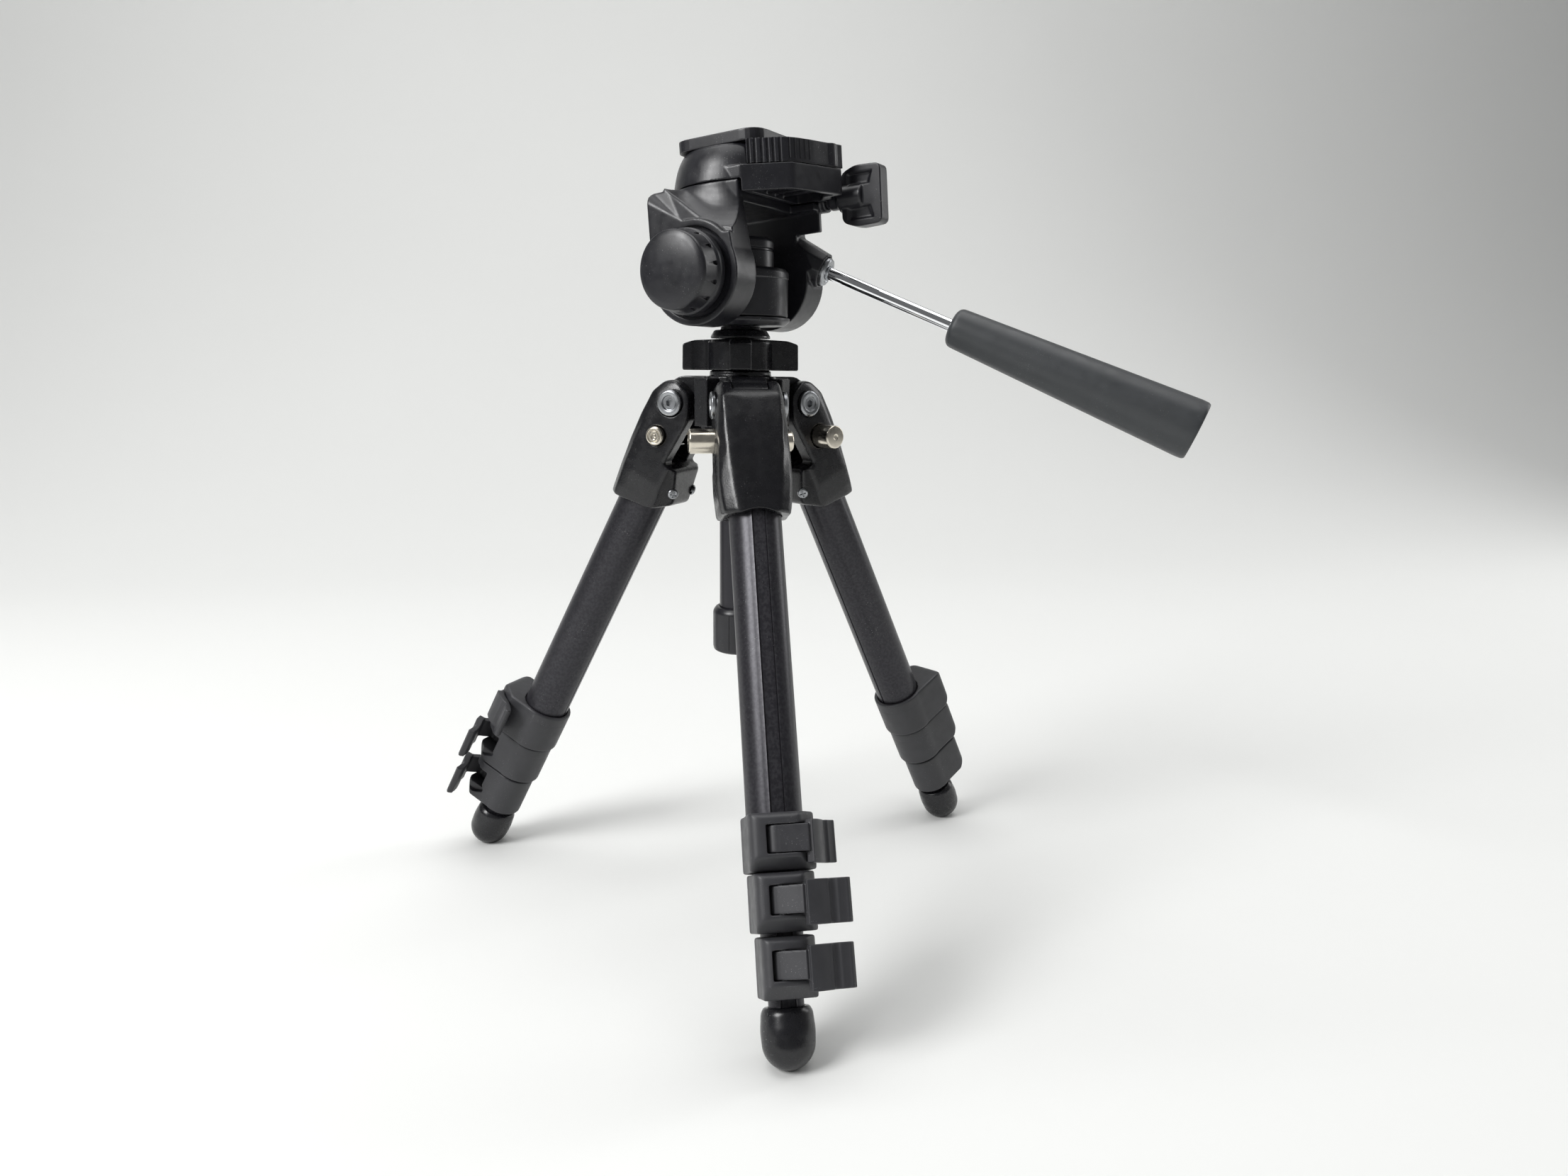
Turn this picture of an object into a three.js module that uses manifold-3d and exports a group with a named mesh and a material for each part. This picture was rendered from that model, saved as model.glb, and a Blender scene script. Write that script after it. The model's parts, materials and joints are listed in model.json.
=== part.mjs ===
// Compact table tripod: three four-section flip-lock legs on a central crown, a sliding
// centre column with a star-shaped locking knob, and a three-way head with a tilting yoke,
// a side-tilting camera platform, a quick-release plate and a long pan handle.
// Units are millimetres, +Z is up, and the feet stand on z = 0.
import * as THREE from 'three';
import { mergeVertices } from 'three/addons/utils/BufferGeometryUtils.js';
import Module from 'manifold-3d';

const wasm = await Module();
wasm.setup();

// ---------------------------------------------------------------- driving dimensions
const RAD = Math.PI / 180;
const GAP = 0.3; // clearance between neighbouring pieces
const FINE = 24; // segments round a large, a medium and a small body
const ROUND = 16;
const SMALL = 12;

const LEG_SPREAD = 27.8; // degrees from vertical
const PIVOT_RADIUS = 29.2; // leg pivots from the column axis
const TUBE_X = -2.1; // tube axis inward of the pivot
const TUBE_RADII = [11.5, 10, 8.5, 7];
const TUBE_WALL = 0.8;
const CHANNEL_HALF = 3; // flat channel down the outer face of each tube
const FOOT_RADIUS = 10.4;
const FOOT_FLAT = 4.3; // radius of the worn flat under each foot
const FOOT_CENTRE = 265.6; // centre of the foot's round end, down the leg
const FOOT_TOP = 252.8;

const HALF_GAP = 8.3; // half width of the fork in a leg shoulder
const LUG_HALF = 8; // half width of a crown lug
const LUG_NOSE = 10.2;
const PIN_X = -1; // lock pin from the leg pivot
const PIN_Z = -17;

const COLUMN_RADIUS = 9.75;
const COLUMN_BOTTOM = 128;
const COLUMN_TOP = 275;
const CROWN_BOTTOM = 233;
const CROWN_TOP = 258;

const PAN_ANGLE = 51.3; // head about the column, degrees
const TILT_ANGLE = -4.5; // platform nods front-down
const AXLE_HEIGHT = 302; // tilt axle above the floor
const AXLE_DROP = 5; // tilt axle below the origin of the tilt frame
const YOKE_INNER = 23.4; // inside faces of the yoke cheeks
const YOKE_OUTER = 40;
const CHEEK_RADIUS = 22.5;
const AXLE_BORE = 4.3;
const SEAM = 33.3; // top of the yoke in the tilt frame
const HINGE_X = 28; // side-tilt axis
const HINGE_Z = 28.5;
const HINGE_RADIUS = 4.8;

const pivotHeight = FOOT_CENTRE * Math.cos(LEG_SPREAD * RAD)
  - TUBE_X * Math.sin(LEG_SPREAD * RAD) + Math.sqrt(FOOT_RADIUS ** 2 - FOOT_FLAT ** 2);

// ---------------------------------------------------------------- solids
function signedVolume(points, faces) {
  let sum = 0;
  const [a, b, c] = [new THREE.Vector3(), new THREE.Vector3(), new THREE.Vector3()];
  for (let i = 0; i < faces.length; i += 3) {
    a.fromArray(points, 3 * faces[i]);
    b.fromArray(points, 3 * faces[i + 1]);
    c.fromArray(points, 3 * faces[i + 2]);
    sum += a.dot(b.cross(c));
  }
  return sum;
}

// Turn closed three.js geometry into a solid, with its faces pointing out.
function solid(geometry) {
  const bare = geometry.clone();
  bare.deleteAttribute('normal');
  bare.deleteAttribute('uv');
  const merged = mergeVertices(bare, 1e-4);
  const index = merged.index.array;
  const faces = [];
  for (let i = 0; i < index.length; i += 3) {
    const [a, b, c] = [index[i], index[i + 1], index[i + 2]];
    if (a !== b && b !== c && c !== a) faces.push(a, b, c);
  }
  const vertProperties = new Float32Array(merged.attributes.position.array);
  if (signedVolume(vertProperties, faces) < 0) faces.reverse();
  const triVerts = new Uint32Array(faces);
  return new wasm.Manifold(new wasm.Mesh({ numProp: 3, vertProperties, triVerts }));
}

function geometryOf(body) {
  const mesh = body.getMesh();
  const geometry = new THREE.BufferGeometry();
  geometry.setAttribute('position', new THREE.BufferAttribute(mesh.vertProperties, 3));
  geometry.setIndex(new THREE.BufferAttribute(mesh.triVerts, 1));
  geometry.computeVertexNormals();
  return geometry;
}

const join = (...bodies) => bodies.reduce((a, b) => a.add(b));
const cut = (body, ...tools) => tools.reduce((a, b) => a.subtract(b), body);

function block([x0, y0, z0], [x1, y1, z1]) {
  const box = new THREE.BoxGeometry(x1 - x0, y1 - y0, z1 - z0);
  return solid(box.translate((x0 + x1) / 2, (y0 + y1) / 2, (z0 + z1) / 2));
}

// A turned body about Z from [radius, z] points, closed on the axis or on itself.
function turned(profile, segments = ROUND) {
  const points = profile.map(([r, z]) => new THREE.Vector2(r, z));
  return new THREE.LatheGeometry(points, segments).rotateX(Math.PI / 2);
}

const discProfile = (r, z0, z1) => [[0, z0], [r, z0], [r, z1], [0, z1]];
const rodZ = (r, z0, z1, x = 0, y = 0, n = ROUND) => solid(
  turned(discProfile(r, z0, z1), n).translate(x, y, 0),
);
const rodX = (r, x0, x1, y = 0, z = 0, n = ROUND) => solid(
  turned(discProfile(r, x0, x1), n).rotateY(Math.PI / 2).translate(0, y, z),
);
const alongY = (geometry, x, z) => geometry.rotateX(-Math.PI / 2).translate(x, 0, z);
const rodY = (r, y0, y1, x = 0, z = 0, n = SMALL) => solid(
  alongY(turned(discProfile(r, y0, y1), n), x, z),
);

// Outline with a rounded corner at each [x, y, radius] point.
function outline(points, divisions = 2) {
  const shape = new THREE.Shape();
  const count = points.length;
  points.forEach(([x, y, radius = 0], i) => {
    const corner = new THREE.Vector2(x, y);
    const before = points[(i + count - 1) % count];
    const after = points[(i + 1) % count];
    const back = new THREE.Vector2(before[0], before[1]).sub(corner);
    const ahead = new THREE.Vector2(after[0], after[1]).sub(corner);
    const reach = Math.min(radius, back.length() / 2.05, ahead.length() / 2.05);
    const start = corner.clone().addScaledVector(back.normalize(), reach);
    const end = corner.clone().addScaledVector(ahead.normalize(), reach);
    const steps = radius > 0 ? divisions : 0;
    for (let k = 0; k <= steps; k += 1) {
      const t = steps ? k / steps : 0;
      const px = (1 - t) ** 2 * start.x + 2 * t * (1 - t) * x + t * t * end.x;
      const py = (1 - t) ** 2 * start.y + 2 * t * (1 - t) * y + t * t * end.y;
      if (i === 0 && k === 0) shape.moveTo(px, py);
      else shape.lineTo(px, py);
    }
  });
  return shape;
}

const extruded = (shape, depth, curveSegments = 8) => new THREE.ExtrudeGeometry(
  shape,
  { depth, bevelEnabled: false, curveSegments },
);
const asShape = (shape) => (Array.isArray(shape) ? outline(shape) : shape);

// Slabs of one outline: across Z from (x, y), across Y from (x, z), across X from (y, z).
const slabZ = (shape, z0, z1) => solid(extruded(asShape(shape), z1 - z0).translate(0, 0, z0));
const slabY = (shape, y0, y1) => solid(
  extruded(asShape(shape), y1 - y0).rotateX(Math.PI / 2).translate(0, y1, 0),
);
const YZ_TO_X = new THREE.Matrix4().makeBasis(
  new THREE.Vector3(0, 1, 0),
  new THREE.Vector3(0, 0, 1),
  new THREE.Vector3(1, 0, 0),
);
const slabX = (shape, x0, x1) => solid(
  extruded(asShape(shape), x1 - x0).applyMatrix4(YZ_TO_X).translate(x0, 0, 0),
);

// A body through matching rings of points, closed by fans at both ends.
function loft(rings) {
  const count = rings[0].length;
  const points = rings.flat();
  const centre = (ring) => ring.reduce((a, p) => a.add(p), new THREE.Vector3())
    .divideScalar(count);
  points.push(centre(rings[0]), centre(rings[rings.length - 1]));
  const faces = [];
  const last = (rings.length - 1) * count;
  for (let i = 0; i < count; i += 1) {
    const j = (i + 1) % count;
    for (let r = 0; r < rings.length - 1; r += 1) {
      const [a, b] = [r * count, (r + 1) * count];
      faces.push(a + i, a + j, b + j, a + i, b + j, b + i);
    }
    faces.push(points.length - 2, j, i, points.length - 1, last + i, last + j);
  }
  const geometry = new THREE.BufferGeometry().setFromPoints(points);
  geometry.setIndex(faces);
  return solid(geometry);
}

// Outline of a strip of even thickness along a smooth curve through the points.
function strip(points, thickness, steps = 9) {
  const curve = new THREE.SplineCurve(points.map(([x, y]) => new THREE.Vector2(x, y)));
  const sides = [[], []];
  for (let i = 0; i <= steps; i += 1) {
    const at = curve.getPoint(i / steps);
    const along = curve.getTangent(i / steps);
    [1, -1].forEach((sign, side) => sides[side].push([
      at.x - sign * along.y * thickness / 2,
      at.y + sign * along.x * thickness / 2,
    ]));
  }
  return outline([...sides[0], ...sides[1].reverse()]);
}

// ---------------------------------------------------------------- finishes and assembly
const FINISHES = {
  glossCasting: { color: 0x131418, roughness: 0.3, metalness: 0.1 },
  anodised: { color: 0x26272c, roughness: 0.35, metalness: 0.6 },
  greyPlastic: { color: 0x3e4044, roughness: 0.6, metalness: 0 },
  blackPlastic: { color: 0x1b1c20, roughness: 0.45, metalness: 0 },
  rubber: { color: 0x1d1e21, roughness: 0.6, metalness: 0 },
  gripRubber: { color: 0x37393c, roughness: 0.65, metalness: 0 },
  nickel: { color: 0xc9c4b8, roughness: 0.2, metalness: 1 },
  zinc: { color: 0xaab0b4, roughness: 0.35, metalness: 1 },
  chrome: { color: 0xe4e6e8, roughness: 0.08, metalness: 1 },
};

function piece(group, name, body, finish) {
  const mesh = new THREE.Mesh(geometryOf(body), new THREE.MeshStandardMaterial(FINISHES[finish]));
  mesh.name = name;
  group.add(mesh);
  return mesh;
}

const tripod = new THREE.Group();

// ---------------------------------------------------------------- leg sections
// Leg frame: origin at the pivot, +x outward, +y along the pivot pin, +z up the leg.
const SECTION_TOPS = [29, 33, 37, 41];
const SECTION_ENDS = [200.6, 223.2, 247.2, 268];
const COLLARS = [
  { top: 181, end: 203, half: 13.5, face: 22, ring: 13.8 },
  { top: 203.5, end: 225.6, half: 12.2, face: 21, ring: 12.5 },
  { top: 227, end: 249.6, half: 10.7, face: 18.5, ring: 10.9 },
];
const LEVER_OPEN = [0, 33, 33]; // how far each flip lever stands open
const LEVER_BACK = 4.6; // lever pivot behind the collar's outer face
const LEVER_Y = -2.6;
const CAM_RADIUS = 4.1;
const LEVER_PIN = 1.1;
const SLOT_TOP = 4.7; // lever slot below the collar's top
const SLOT_HEIGHT = 11;
const TAB_TOP = 3.4;
const TAB_HEIGHT = 16.5;

function channelled(path, radius, half, depth) {
  const start = Math.asin(half / radius);
  path.moveTo(radius - depth, half);
  path.lineTo(radius * Math.cos(start), half);
  path.absarc(0, 0, radius, start, 2 * Math.PI - start, false);
  path.lineTo(radius - depth, -half);
  path.closePath();
  return path;
}

function tube(index) {
  const radius = TUBE_RADII[index];
  const shape = channelled(new THREE.Shape(), radius, CHANNEL_HALF, TUBE_WALL);
  shape.holes.push(channelled(
    new THREE.Path(),
    radius - TUBE_WALL,
    CHANNEL_HALF + 0.6,
    TUBE_WALL,
  ));
  const length = SECTION_ENDS[index] - SECTION_TOPS[index];
  return solid(extruded(shape, length, 9).translate(TUBE_X, 0, -SECTION_ENDS[index]));
}

function shoulder() {
  const side = slabY([
    [3.4, 10.6, 3], [9, 7, 3], [12, 0, 3], [12.8, -12], [12.2, -38], [11.4, -55, 1.5],
    [-13, -50.5, 2], [-21, -44.7, 2], [-16.5, -27.6, 1], [-10.4, -27.2, 1], [-12, -3, 3],
    [-6.8, 8, 4],
  ], -17, 17);
  const front = slabX([
    [-15.4, 11], [15.4, 11], [16.5, -10], [16.8, -38, 4], [14.2, -56], [-14.2, -56],
    [-16.8, -38, 4], [-16.5, -10],
  ], -30, 20);
  const boss = slabZ([
    [-12, -17], [-21.5, -8.2], [-30, -8.2], [-30, 8.2], [-21.5, 8.2], [-12, 17],
  ], -60, -20);
  const inner = block([-30, -20, -60], [-13.2, 20, -20]);
  const socket = rodZ(TUBE_RADII[0] + GAP, -60, -28.6, TUBE_X, 0, ROUND);
  return cut(
    side.intersect(front),
    cut(inner, boss),
    socket,
    block([-40, -HALF_GAP, -27], [11, HALF_GAP, 30]),
    block([-40, -HALF_GAP, 3.5], [40, HALF_GAP, 30]),
    rodY(3.3, -20, 20),
    rodY(6.4, -20, -15.2),
    rodY(6.4, 15.2, 20),
    rodY(5.8, -20, -HALF_GAP + 1, PIN_X, PIN_Z),
    rodY(4.8, HALF_GAP - 1, 20, PIN_X, PIN_Z),
  );
}

const pivotBolt = () => solid(alongY(turned([
  [0, -17.4], [5.2, -17.4], [6.1, -16.8], [6.1, -15.5], [3, -15.5], [3, 15.5], [6.1, 15.5],
  [6.1, 16.8], [5.2, 17.4], [0, 17.4],
], SMALL), 0, 0));

// Push-through pin: its thick middle blocks the crown's stop tooth, and pushing the pin
// across brings the thin neck in line with the tooth.
const lockPin = () => solid(alongY(turned([
  [0, -27.6], [5, -27.6], [5.5, -27.1], [5.5, -15.5], [1.6, -15.5], [1.6, -8.4], [3, -8.4],
  [3, 0.2], [1.6, 0.2], [1.6, 9.5], [4.5, 9.5], [4.5, 18.4], [3.9, 19], [0, 19],
], SMALL), PIN_X, PIN_Z));

function collar(index) {
  const { top, end, half, face, ring } = COLLARS[index];
  const plan = [
    [TUBE_X - 2, -half], [face, -half, 4], [face, 6, 2], [face - 9.5 * (half - 6) / 7.5, half, 2],
    [TUBE_X - 2, half],
  ];
  const boss = slabZ(plan, -end, -top).intersect(slabY([
    [TUBE_X - 3, -top], [face - 1.5, -top, 2], [face + 1, -top - 3], [face + 1, -end + 6],
    [face - 5, -end], [TUBE_X - 3, -end],
  ], -20, 20));
  const floor = TUBE_X + TUBE_RADII[index] + GAP + 1.3;
  const slotTop = -top - SLOT_TOP;
  const slot = block([floor, -7, slotTop - SLOT_HEIGHT], [face + 5, half + 5, slotTop]);
  const pin = rodZ(
    LEVER_PIN,
    slotTop - SLOT_HEIGHT - 0.5,
    slotTop + 0.5,
    face - LEVER_BACK,
    LEVER_Y,
    8,
  );
  const ledge = SECTION_ENDS[index] + 0.4;
  return join(cut(
    join(rodZ(ring, -end, -top, TUBE_X, 0, ROUND), boss),
    rodZ(TUBE_RADII[index] + GAP, -ledge, -top + 5, TUBE_X, 0, ROUND),
    rodZ(TUBE_RADII[index + 1] + GAP, -end - 5, -ledge + 1, TUBE_X, 0, ROUND),
    slot,
  ), pin);
}

// Flip lever about its own pivot, drawn closed, wrapped round the collar's corner.
function lever() {
  const bandHeight = SLOT_HEIGHT - 2 * GAP;
  const bandTop = -SLOT_TOP - GAP;
  const band = slabZ(
    strip([[2.6, 0.5], [2.9, 6], [3.1, 9.5], [3.4, 12.2]], 3.2, 6),
    bandTop - bandHeight,
    bandTop,
  );
  const tab = slabZ(
    strip([[3.4, 12.2], [0.4, 15.2], [-3.6, 17.6], [-7.6, 20.6], [-10.2, 23.8]], 3.2),
    -TAB_TOP - TAB_HEIGHT,
    -TAB_TOP,
  );
  const cam = rodZ(CAM_RADIUS, bandTop - bandHeight, bandTop, 0, 0, SMALL);
  const hole = rodZ(LEVER_PIN + GAP, -30, 0, 0, 0, 8);
  return cut(join(cam, band, tab), hole);
}

function foot(pivotMatrix) {
  const round = [];
  for (let i = 0; i <= 5; i += 1) {
    const turn = i / 5 * Math.PI / 2;
    round.push([FOOT_RADIUS * Math.sin(turn), -FOOT_CENTRE - FOOT_RADIUS * Math.cos(turn)]);
  }
  const body = solid(turned([
    ...round, [10.7, -261.6], [10, -FOOT_TOP - 1.2], [8.8, -FOOT_TOP], [0, -FOOT_TOP],
  ]).translate(TUBE_X, 0, 0));
  const floor = new THREE.BoxGeometry(600, 600, 60).translate(0, 0, -30)
    .applyMatrix4(pivotMatrix.clone().invert());
  const socket = rodZ(TUBE_RADII[3] + GAP, -SECTION_ENDS[3] - 0.4, -FOOT_TOP + 5, TUBE_X);
  return cut(body, solid(floor), socket);
}

const LEGS = [['front', -90], ['left', 150], ['right', 30]];
LEGS.forEach(([side, azimuth]) => {
  const arm = new THREE.Group();
  arm.rotation.z = azimuth * RAD;
  const leg = new THREE.Group();
  leg.position.set(PIVOT_RADIUS, 0, pivotHeight);
  leg.rotation.y = -LEG_SPREAD * RAD;
  leg.updateMatrix();
  arm.add(leg);
  tripod.add(arm);

  piece(leg, `${side}_leg_shoulder`, shoulder(), 'glossCasting');
  piece(leg, `${side}_pivot_bolt`, pivotBolt(), 'zinc');
  piece(leg, `${side}_lock_pin`, lockPin(), 'nickel');
  SECTION_TOPS.forEach((top, i) => {
    piece(leg, `${side}_leg_tube_${i + 1}`, tube(i), 'anodised');
  });
  COLLARS.forEach(({ top, face }, i) => {
    piece(leg, `${side}_collar_${i + 1}`, collar(i), 'greyPlastic');
    const flip = piece(leg, `${side}_flip_lever_${i + 1}`, lever(), 'greyPlastic');
    flip.position.set(face - LEVER_BACK, LEVER_Y, -top);
    flip.rotation.z = -LEVER_OPEN[i] * RAD;
  });
  piece(leg, `${side}_foot`, foot(leg.matrix), 'rubber');
});

// ---------------------------------------------------------------- crown and centre column
const COLLET_OUTER = 11.6;
const NECK_OUTER = 13.4;
const NECK_TOP = 268;
const KNOB_BOTTOM = 260.7;
const KNOB_TOP = 274.8;
const KNOB_TURN = -7.3; // wings of the column knob about Z, degrees

// A point of the leg frame, turned to the leg's spread, as an offset from the pivot.
function fromLeg([x, z]) {
  const [c, s] = [Math.cos(LEG_SPREAD * RAD), Math.sin(LEG_SPREAD * RAD)];
  return [PIVOT_RADIUS + x * c - z * s, pivotHeight + x * s + z * c];
}

function crown() {
  const top = CROWN_TOP - pivotHeight;
  const root = slabY([
    [8, CROWN_BOTTOM], [PIVOT_RADIUS - 12.7, CROWN_BOTTOM, 1],
    [PIVOT_RADIUS - 8, pivotHeight - 7], [PIVOT_RADIUS, pivotHeight],
    [PIVOT_RADIUS + 6, pivotHeight + 7], [PIVOT_RADIUS - 0.5, pivotHeight + top, 4],
    [8, CROWN_TOP],
  ], -LUG_HALF, LUG_HALF);
  const nose = rodY(LUG_NOSE, -LUG_HALF, LUG_HALF, PIVOT_RADIUS, pivotHeight, ROUND);
  const tooth = slabY(
    [[1.5, -5], [1.5, -14.6], [4.3, -14.3], [6.4, -5]].map(fromLeg),
    -LUG_HALF + 0.3,
    -3.7,
  );
  const lug = cut(
    join(root, nose, tooth),
    rodY(3.3, -20, 20, PIVOT_RADIUS, pivotHeight),
  );
  const web = block([8, -5, CROWN_BOTTOM + 2], [23, 5, CROWN_TOP - 1]);
  let body = join(
    rodZ(16.5, CROWN_BOTTOM, CROWN_TOP, 0, 0, FINE),
    rodZ(14.4, CROWN_TOP - 1, 260.3, 0, 0, FINE),
    rodZ(NECK_OUTER, 259, NECK_TOP, 0, 0, FINE),
  );
  LEGS.forEach(([, azimuth]) => {
    body = join(body, lug.rotate([0, 0, azimuth]), web.rotate([0, 0, azimuth + 60]));
  });
  return cut(
    body,
    rodZ(COLUMN_RADIUS + GAP, CROWN_BOTTOM - 5, 300, 0, 0, ROUND),
    rodZ(COLLET_OUTER + GAP, 249.7, 300, 0, 0, ROUND),
  );
}

const ringBody = (inner, outer, z0, z1, n = ROUND) => solid(turned(
  [[inner, z0], [outer, z0], [outer, z1], [inner, z1], [inner, z0]],
  n,
));

function collet() {
  const slit = block([0, -0.8, 240], [20, 0.8, 280]);
  return cut(ringBody(COLUMN_RADIUS + GAP, COLLET_OUTER, 250, 271.5), slit);
}

function columnKnob() {
  const wing = slabY([
    [11, KNOB_BOTTOM], [27, KNOB_BOTTOM, 1.5], [26.6, 272.6, 2], [19, 274.3, 3], [11, KNOB_TOP],
  ], -4.5, 4.5);
  let body = rodZ(15.3, KNOB_BOTTOM, KNOB_TOP, 0, 0, FINE);
  for (let i = 0; i < 4; i += 1) body = join(body, wing.rotate([0, 0, 90 * i]));
  return cut(
    body,
    rodZ(NECK_OUTER + GAP, KNOB_BOTTOM - 5, 268.4, 0, 0, ROUND),
    rodZ(COLLET_OUTER + GAP, 260, 272, 0, 0, ROUND),
    rodZ(COLUMN_RADIUS + GAP, 260, 280, 0, 0, ROUND),
  ).rotate([0, 0, KNOB_TURN]);
}

piece(tripod, 'crown', crown(), 'glossCasting');
piece(tripod, 'column_collet', collet(), 'blackPlastic');
piece(tripod, 'column_lock_knob', columnKnob(), 'glossCasting');
piece(
  tripod,
  'centre_column',
  ringBody(COLUMN_RADIUS - 1, COLUMN_RADIUS, COLUMN_BOTTOM, COLUMN_TOP),
  'anodised',
);
piece(tripod, 'column_end_cap', solid(turned([
  [0, 125.3], [12.4, 125.3], [13, 126], [13, 146.6], [12, 147.7], [COLUMN_RADIUS + GAP, 147.7],
  [COLUMN_RADIUS + GAP, COLUMN_BOTTOM - GAP], [0, COLUMN_BOTTOM - GAP],
])), 'blackPlastic');
piece(tripod, 'column_flange', solid(turned([
  [0, 262], [8.4, 262], [8.4, COLUMN_TOP + GAP], [13.8, COLUMN_TOP + GAP], [13.8, 277.6],
  [12.4, 279], [9, 279], [9, 280.7], [4.7, 280.7], [4.7, 288], [0, 288],
])), 'blackPlastic');

// ---------------------------------------------------------------- head: pan stage
const PAN_BASE_TOP = 284.5;
const head = new THREE.Group();
head.rotation.z = PAN_ANGLE * RAD;
tripod.add(head);

piece(head, 'pan_base', solid(turned([
  [5, 281], [20.6, 281], [23, 283], [23, PAN_BASE_TOP], [9, PAN_BASE_TOP], [9, 296.6],
  [0, 296.6], [0, 288.4], [5, 288.4], [5, 281],
], FINE)), 'blackPlastic');

function panBody() {
  const shell = solid(turned([
    [9.3, 284.8], [22, 284.8], [22, 304.6], [20.6, 306.4], [15.2, 306.6], [15.2, 314.4],
    [14.6, 314.7], [15.2, 315], [15.2, 319], [14.2, 320], [0, 320], [0, 297], [9.3, 297],
    [9.3, 284.8],
  ], FINE));
  return cut(shell, rodX(AXLE_BORE, -30, 30, 0, AXLE_HEIGHT, SMALL));
}
piece(head, 'pan_body', panBody(), 'blackPlastic');

// ---------------------------------------------------------------- head: tilt stage
// Tilt frame: origin above the tilt axle, +x to the handle side, +y to the lens, +z up.
const tilt = new THREE.Group();
tilt.position.z = AXLE_HEIGHT + AXLE_DROP;
tilt.rotation.x = TILT_ANGLE * RAD;
head.add(tilt);
const AXLE_Y = -AXLE_DROP * Math.sin(TILT_ANGLE * RAD);
const AXLE_Z = -AXLE_DROP * Math.cos(TILT_ANGLE * RAD);

const HANDLE_START = new THREE.Vector3(HINGE_X, -0.9, 11.5);
const HANDLE_OUT = 10.4; // degrees outward
const HANDLE_DOWN = 26.8; // degrees below the platform's level
const handleAxis = new THREE.Vector3(
  Math.sin(HANDLE_OUT * RAD) * Math.cos(HANDLE_DOWN * RAD),
  -Math.cos(HANDLE_OUT * RAD) * Math.cos(HANDLE_DOWN * RAD),
  -Math.sin(HANDLE_DOWN * RAD),
);
const handleTurn = new THREE.Quaternion().setFromUnitVectors(
  new THREE.Vector3(0, 0, 1),
  handleAxis,
);
const alongHandle = (geometry) => geometry.applyQuaternion(handleTurn)
  .translate(...HANDLE_START.toArray());
const BUSH_START = 24;
const BOSS_END = 29.5;

function yoke() {
  const cheeks = [
    rodX(CHEEK_RADIUS, -YOKE_OUTER, -YOKE_INNER, AXLE_Y, AXLE_Z, FINE),
    rodX(CHEEK_RADIUS, YOKE_INNER, YOKE_OUTER, AXLE_Y, AXLE_Z, FINE),
  ];
  const leftWall = slabX([
    [-21.5, AXLE_Z], [22.5, AXLE_Z], [21.6, 8], [21.6, 31, 3], [15, 31.6], [14, SEAM],
    [-16.5, SEAM], [-19, 10],
  ], -YOKE_OUTER, -YOKE_INNER);
  const saddle = slabX([[-30, 6], [-8, 6], [16, 31.4], [16, 40], [-30, 40]], -60, -10)
    .intersect(slabY([
      [-60, 4], [-41, 4], [-36, 20], [-28.5, SEAM], [-28.5, 50], [-60, 50],
    ], -40, 40));
  const beam = slabZ([
    [-29, -6, 6], [-27, -17.4], [33, -17.4], [33, 17], [22.6, 17], [19, 22, 4],
    [10, 27.6, 4], [-10, 27.6, 6], [-24, 17, 6],
  ], 24.2, SEAM);
  const rightWall = slabY([[20, 2], [33, 2], [33, HINGE_Z], [20, SEAM]], -17.4, 17);
  const barrel = rodY(HINGE_RADIUS, -33, 17, HINGE_X, HINGE_Z);
  const bracket = block([19, -30, 15], [26.2, -16, 27.7]);
  const cone = solid(alongHandle(turned(
    [[0, -4], [12.5, 0], [8.4, BOSS_END], [0, BOSS_END]],
    10,
  )));
  const aboveHinge = cut(
    block([20, -40, HINGE_Z], [60, 40, 60]),
    rodY(HINGE_RADIUS, -50, 50, HINGE_X, HINGE_Z),
    block([0, -50, 0], [22.6, 50, 60]),
  );
  return cut(
    join(...cheeks, cut(leftWall, saddle), beam, rightWall, barrel, bracket, cone),
    block([-YOKE_INNER, -60, -60], [YOKE_INNER, 60, 24.2]),
    block([HINGE_X + HINGE_RADIUS + 0.5, -40, 19.6], [60, 40, 60]),
    aboveHinge,
    solid(alongHandle(turned(discProfile(7, BUSH_START - GAP, 60), SMALL))),
    solid(alongHandle(turned(discProfile(3.4, 12, 60), SMALL))),
    rodX(AXLE_BORE, -60, 31, AXLE_Y, AXLE_Z, SMALL),
    rodY(3.3, -60, -10, HINGE_X, HINGE_Z, SMALL),
    rodY(2.8, 6, 60, HINGE_X, HINGE_Z, SMALL),
  );
}
piece(tilt, 'tilt_yoke', yoke(), 'blackPlastic');

// Knob with its clamping shaft moulded in; the shaft is the tilt axle.
piece(tilt, 'tilt_knob', solid(turned([
  [0, -57.8], [8, -57.6], [13, -56.9], [15.7, -55.8], [16.6, -54], [17.2, -47.8],
  [18.2, -45.6], [18.2, -42.2], [17.4, -41.5], [4, -41.5], [4, 29.5], [0, 29.5],
], FINE).rotateY(Math.PI / 2).translate(0, AXLE_Y, AXLE_Z)), 'blackPlastic');

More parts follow.
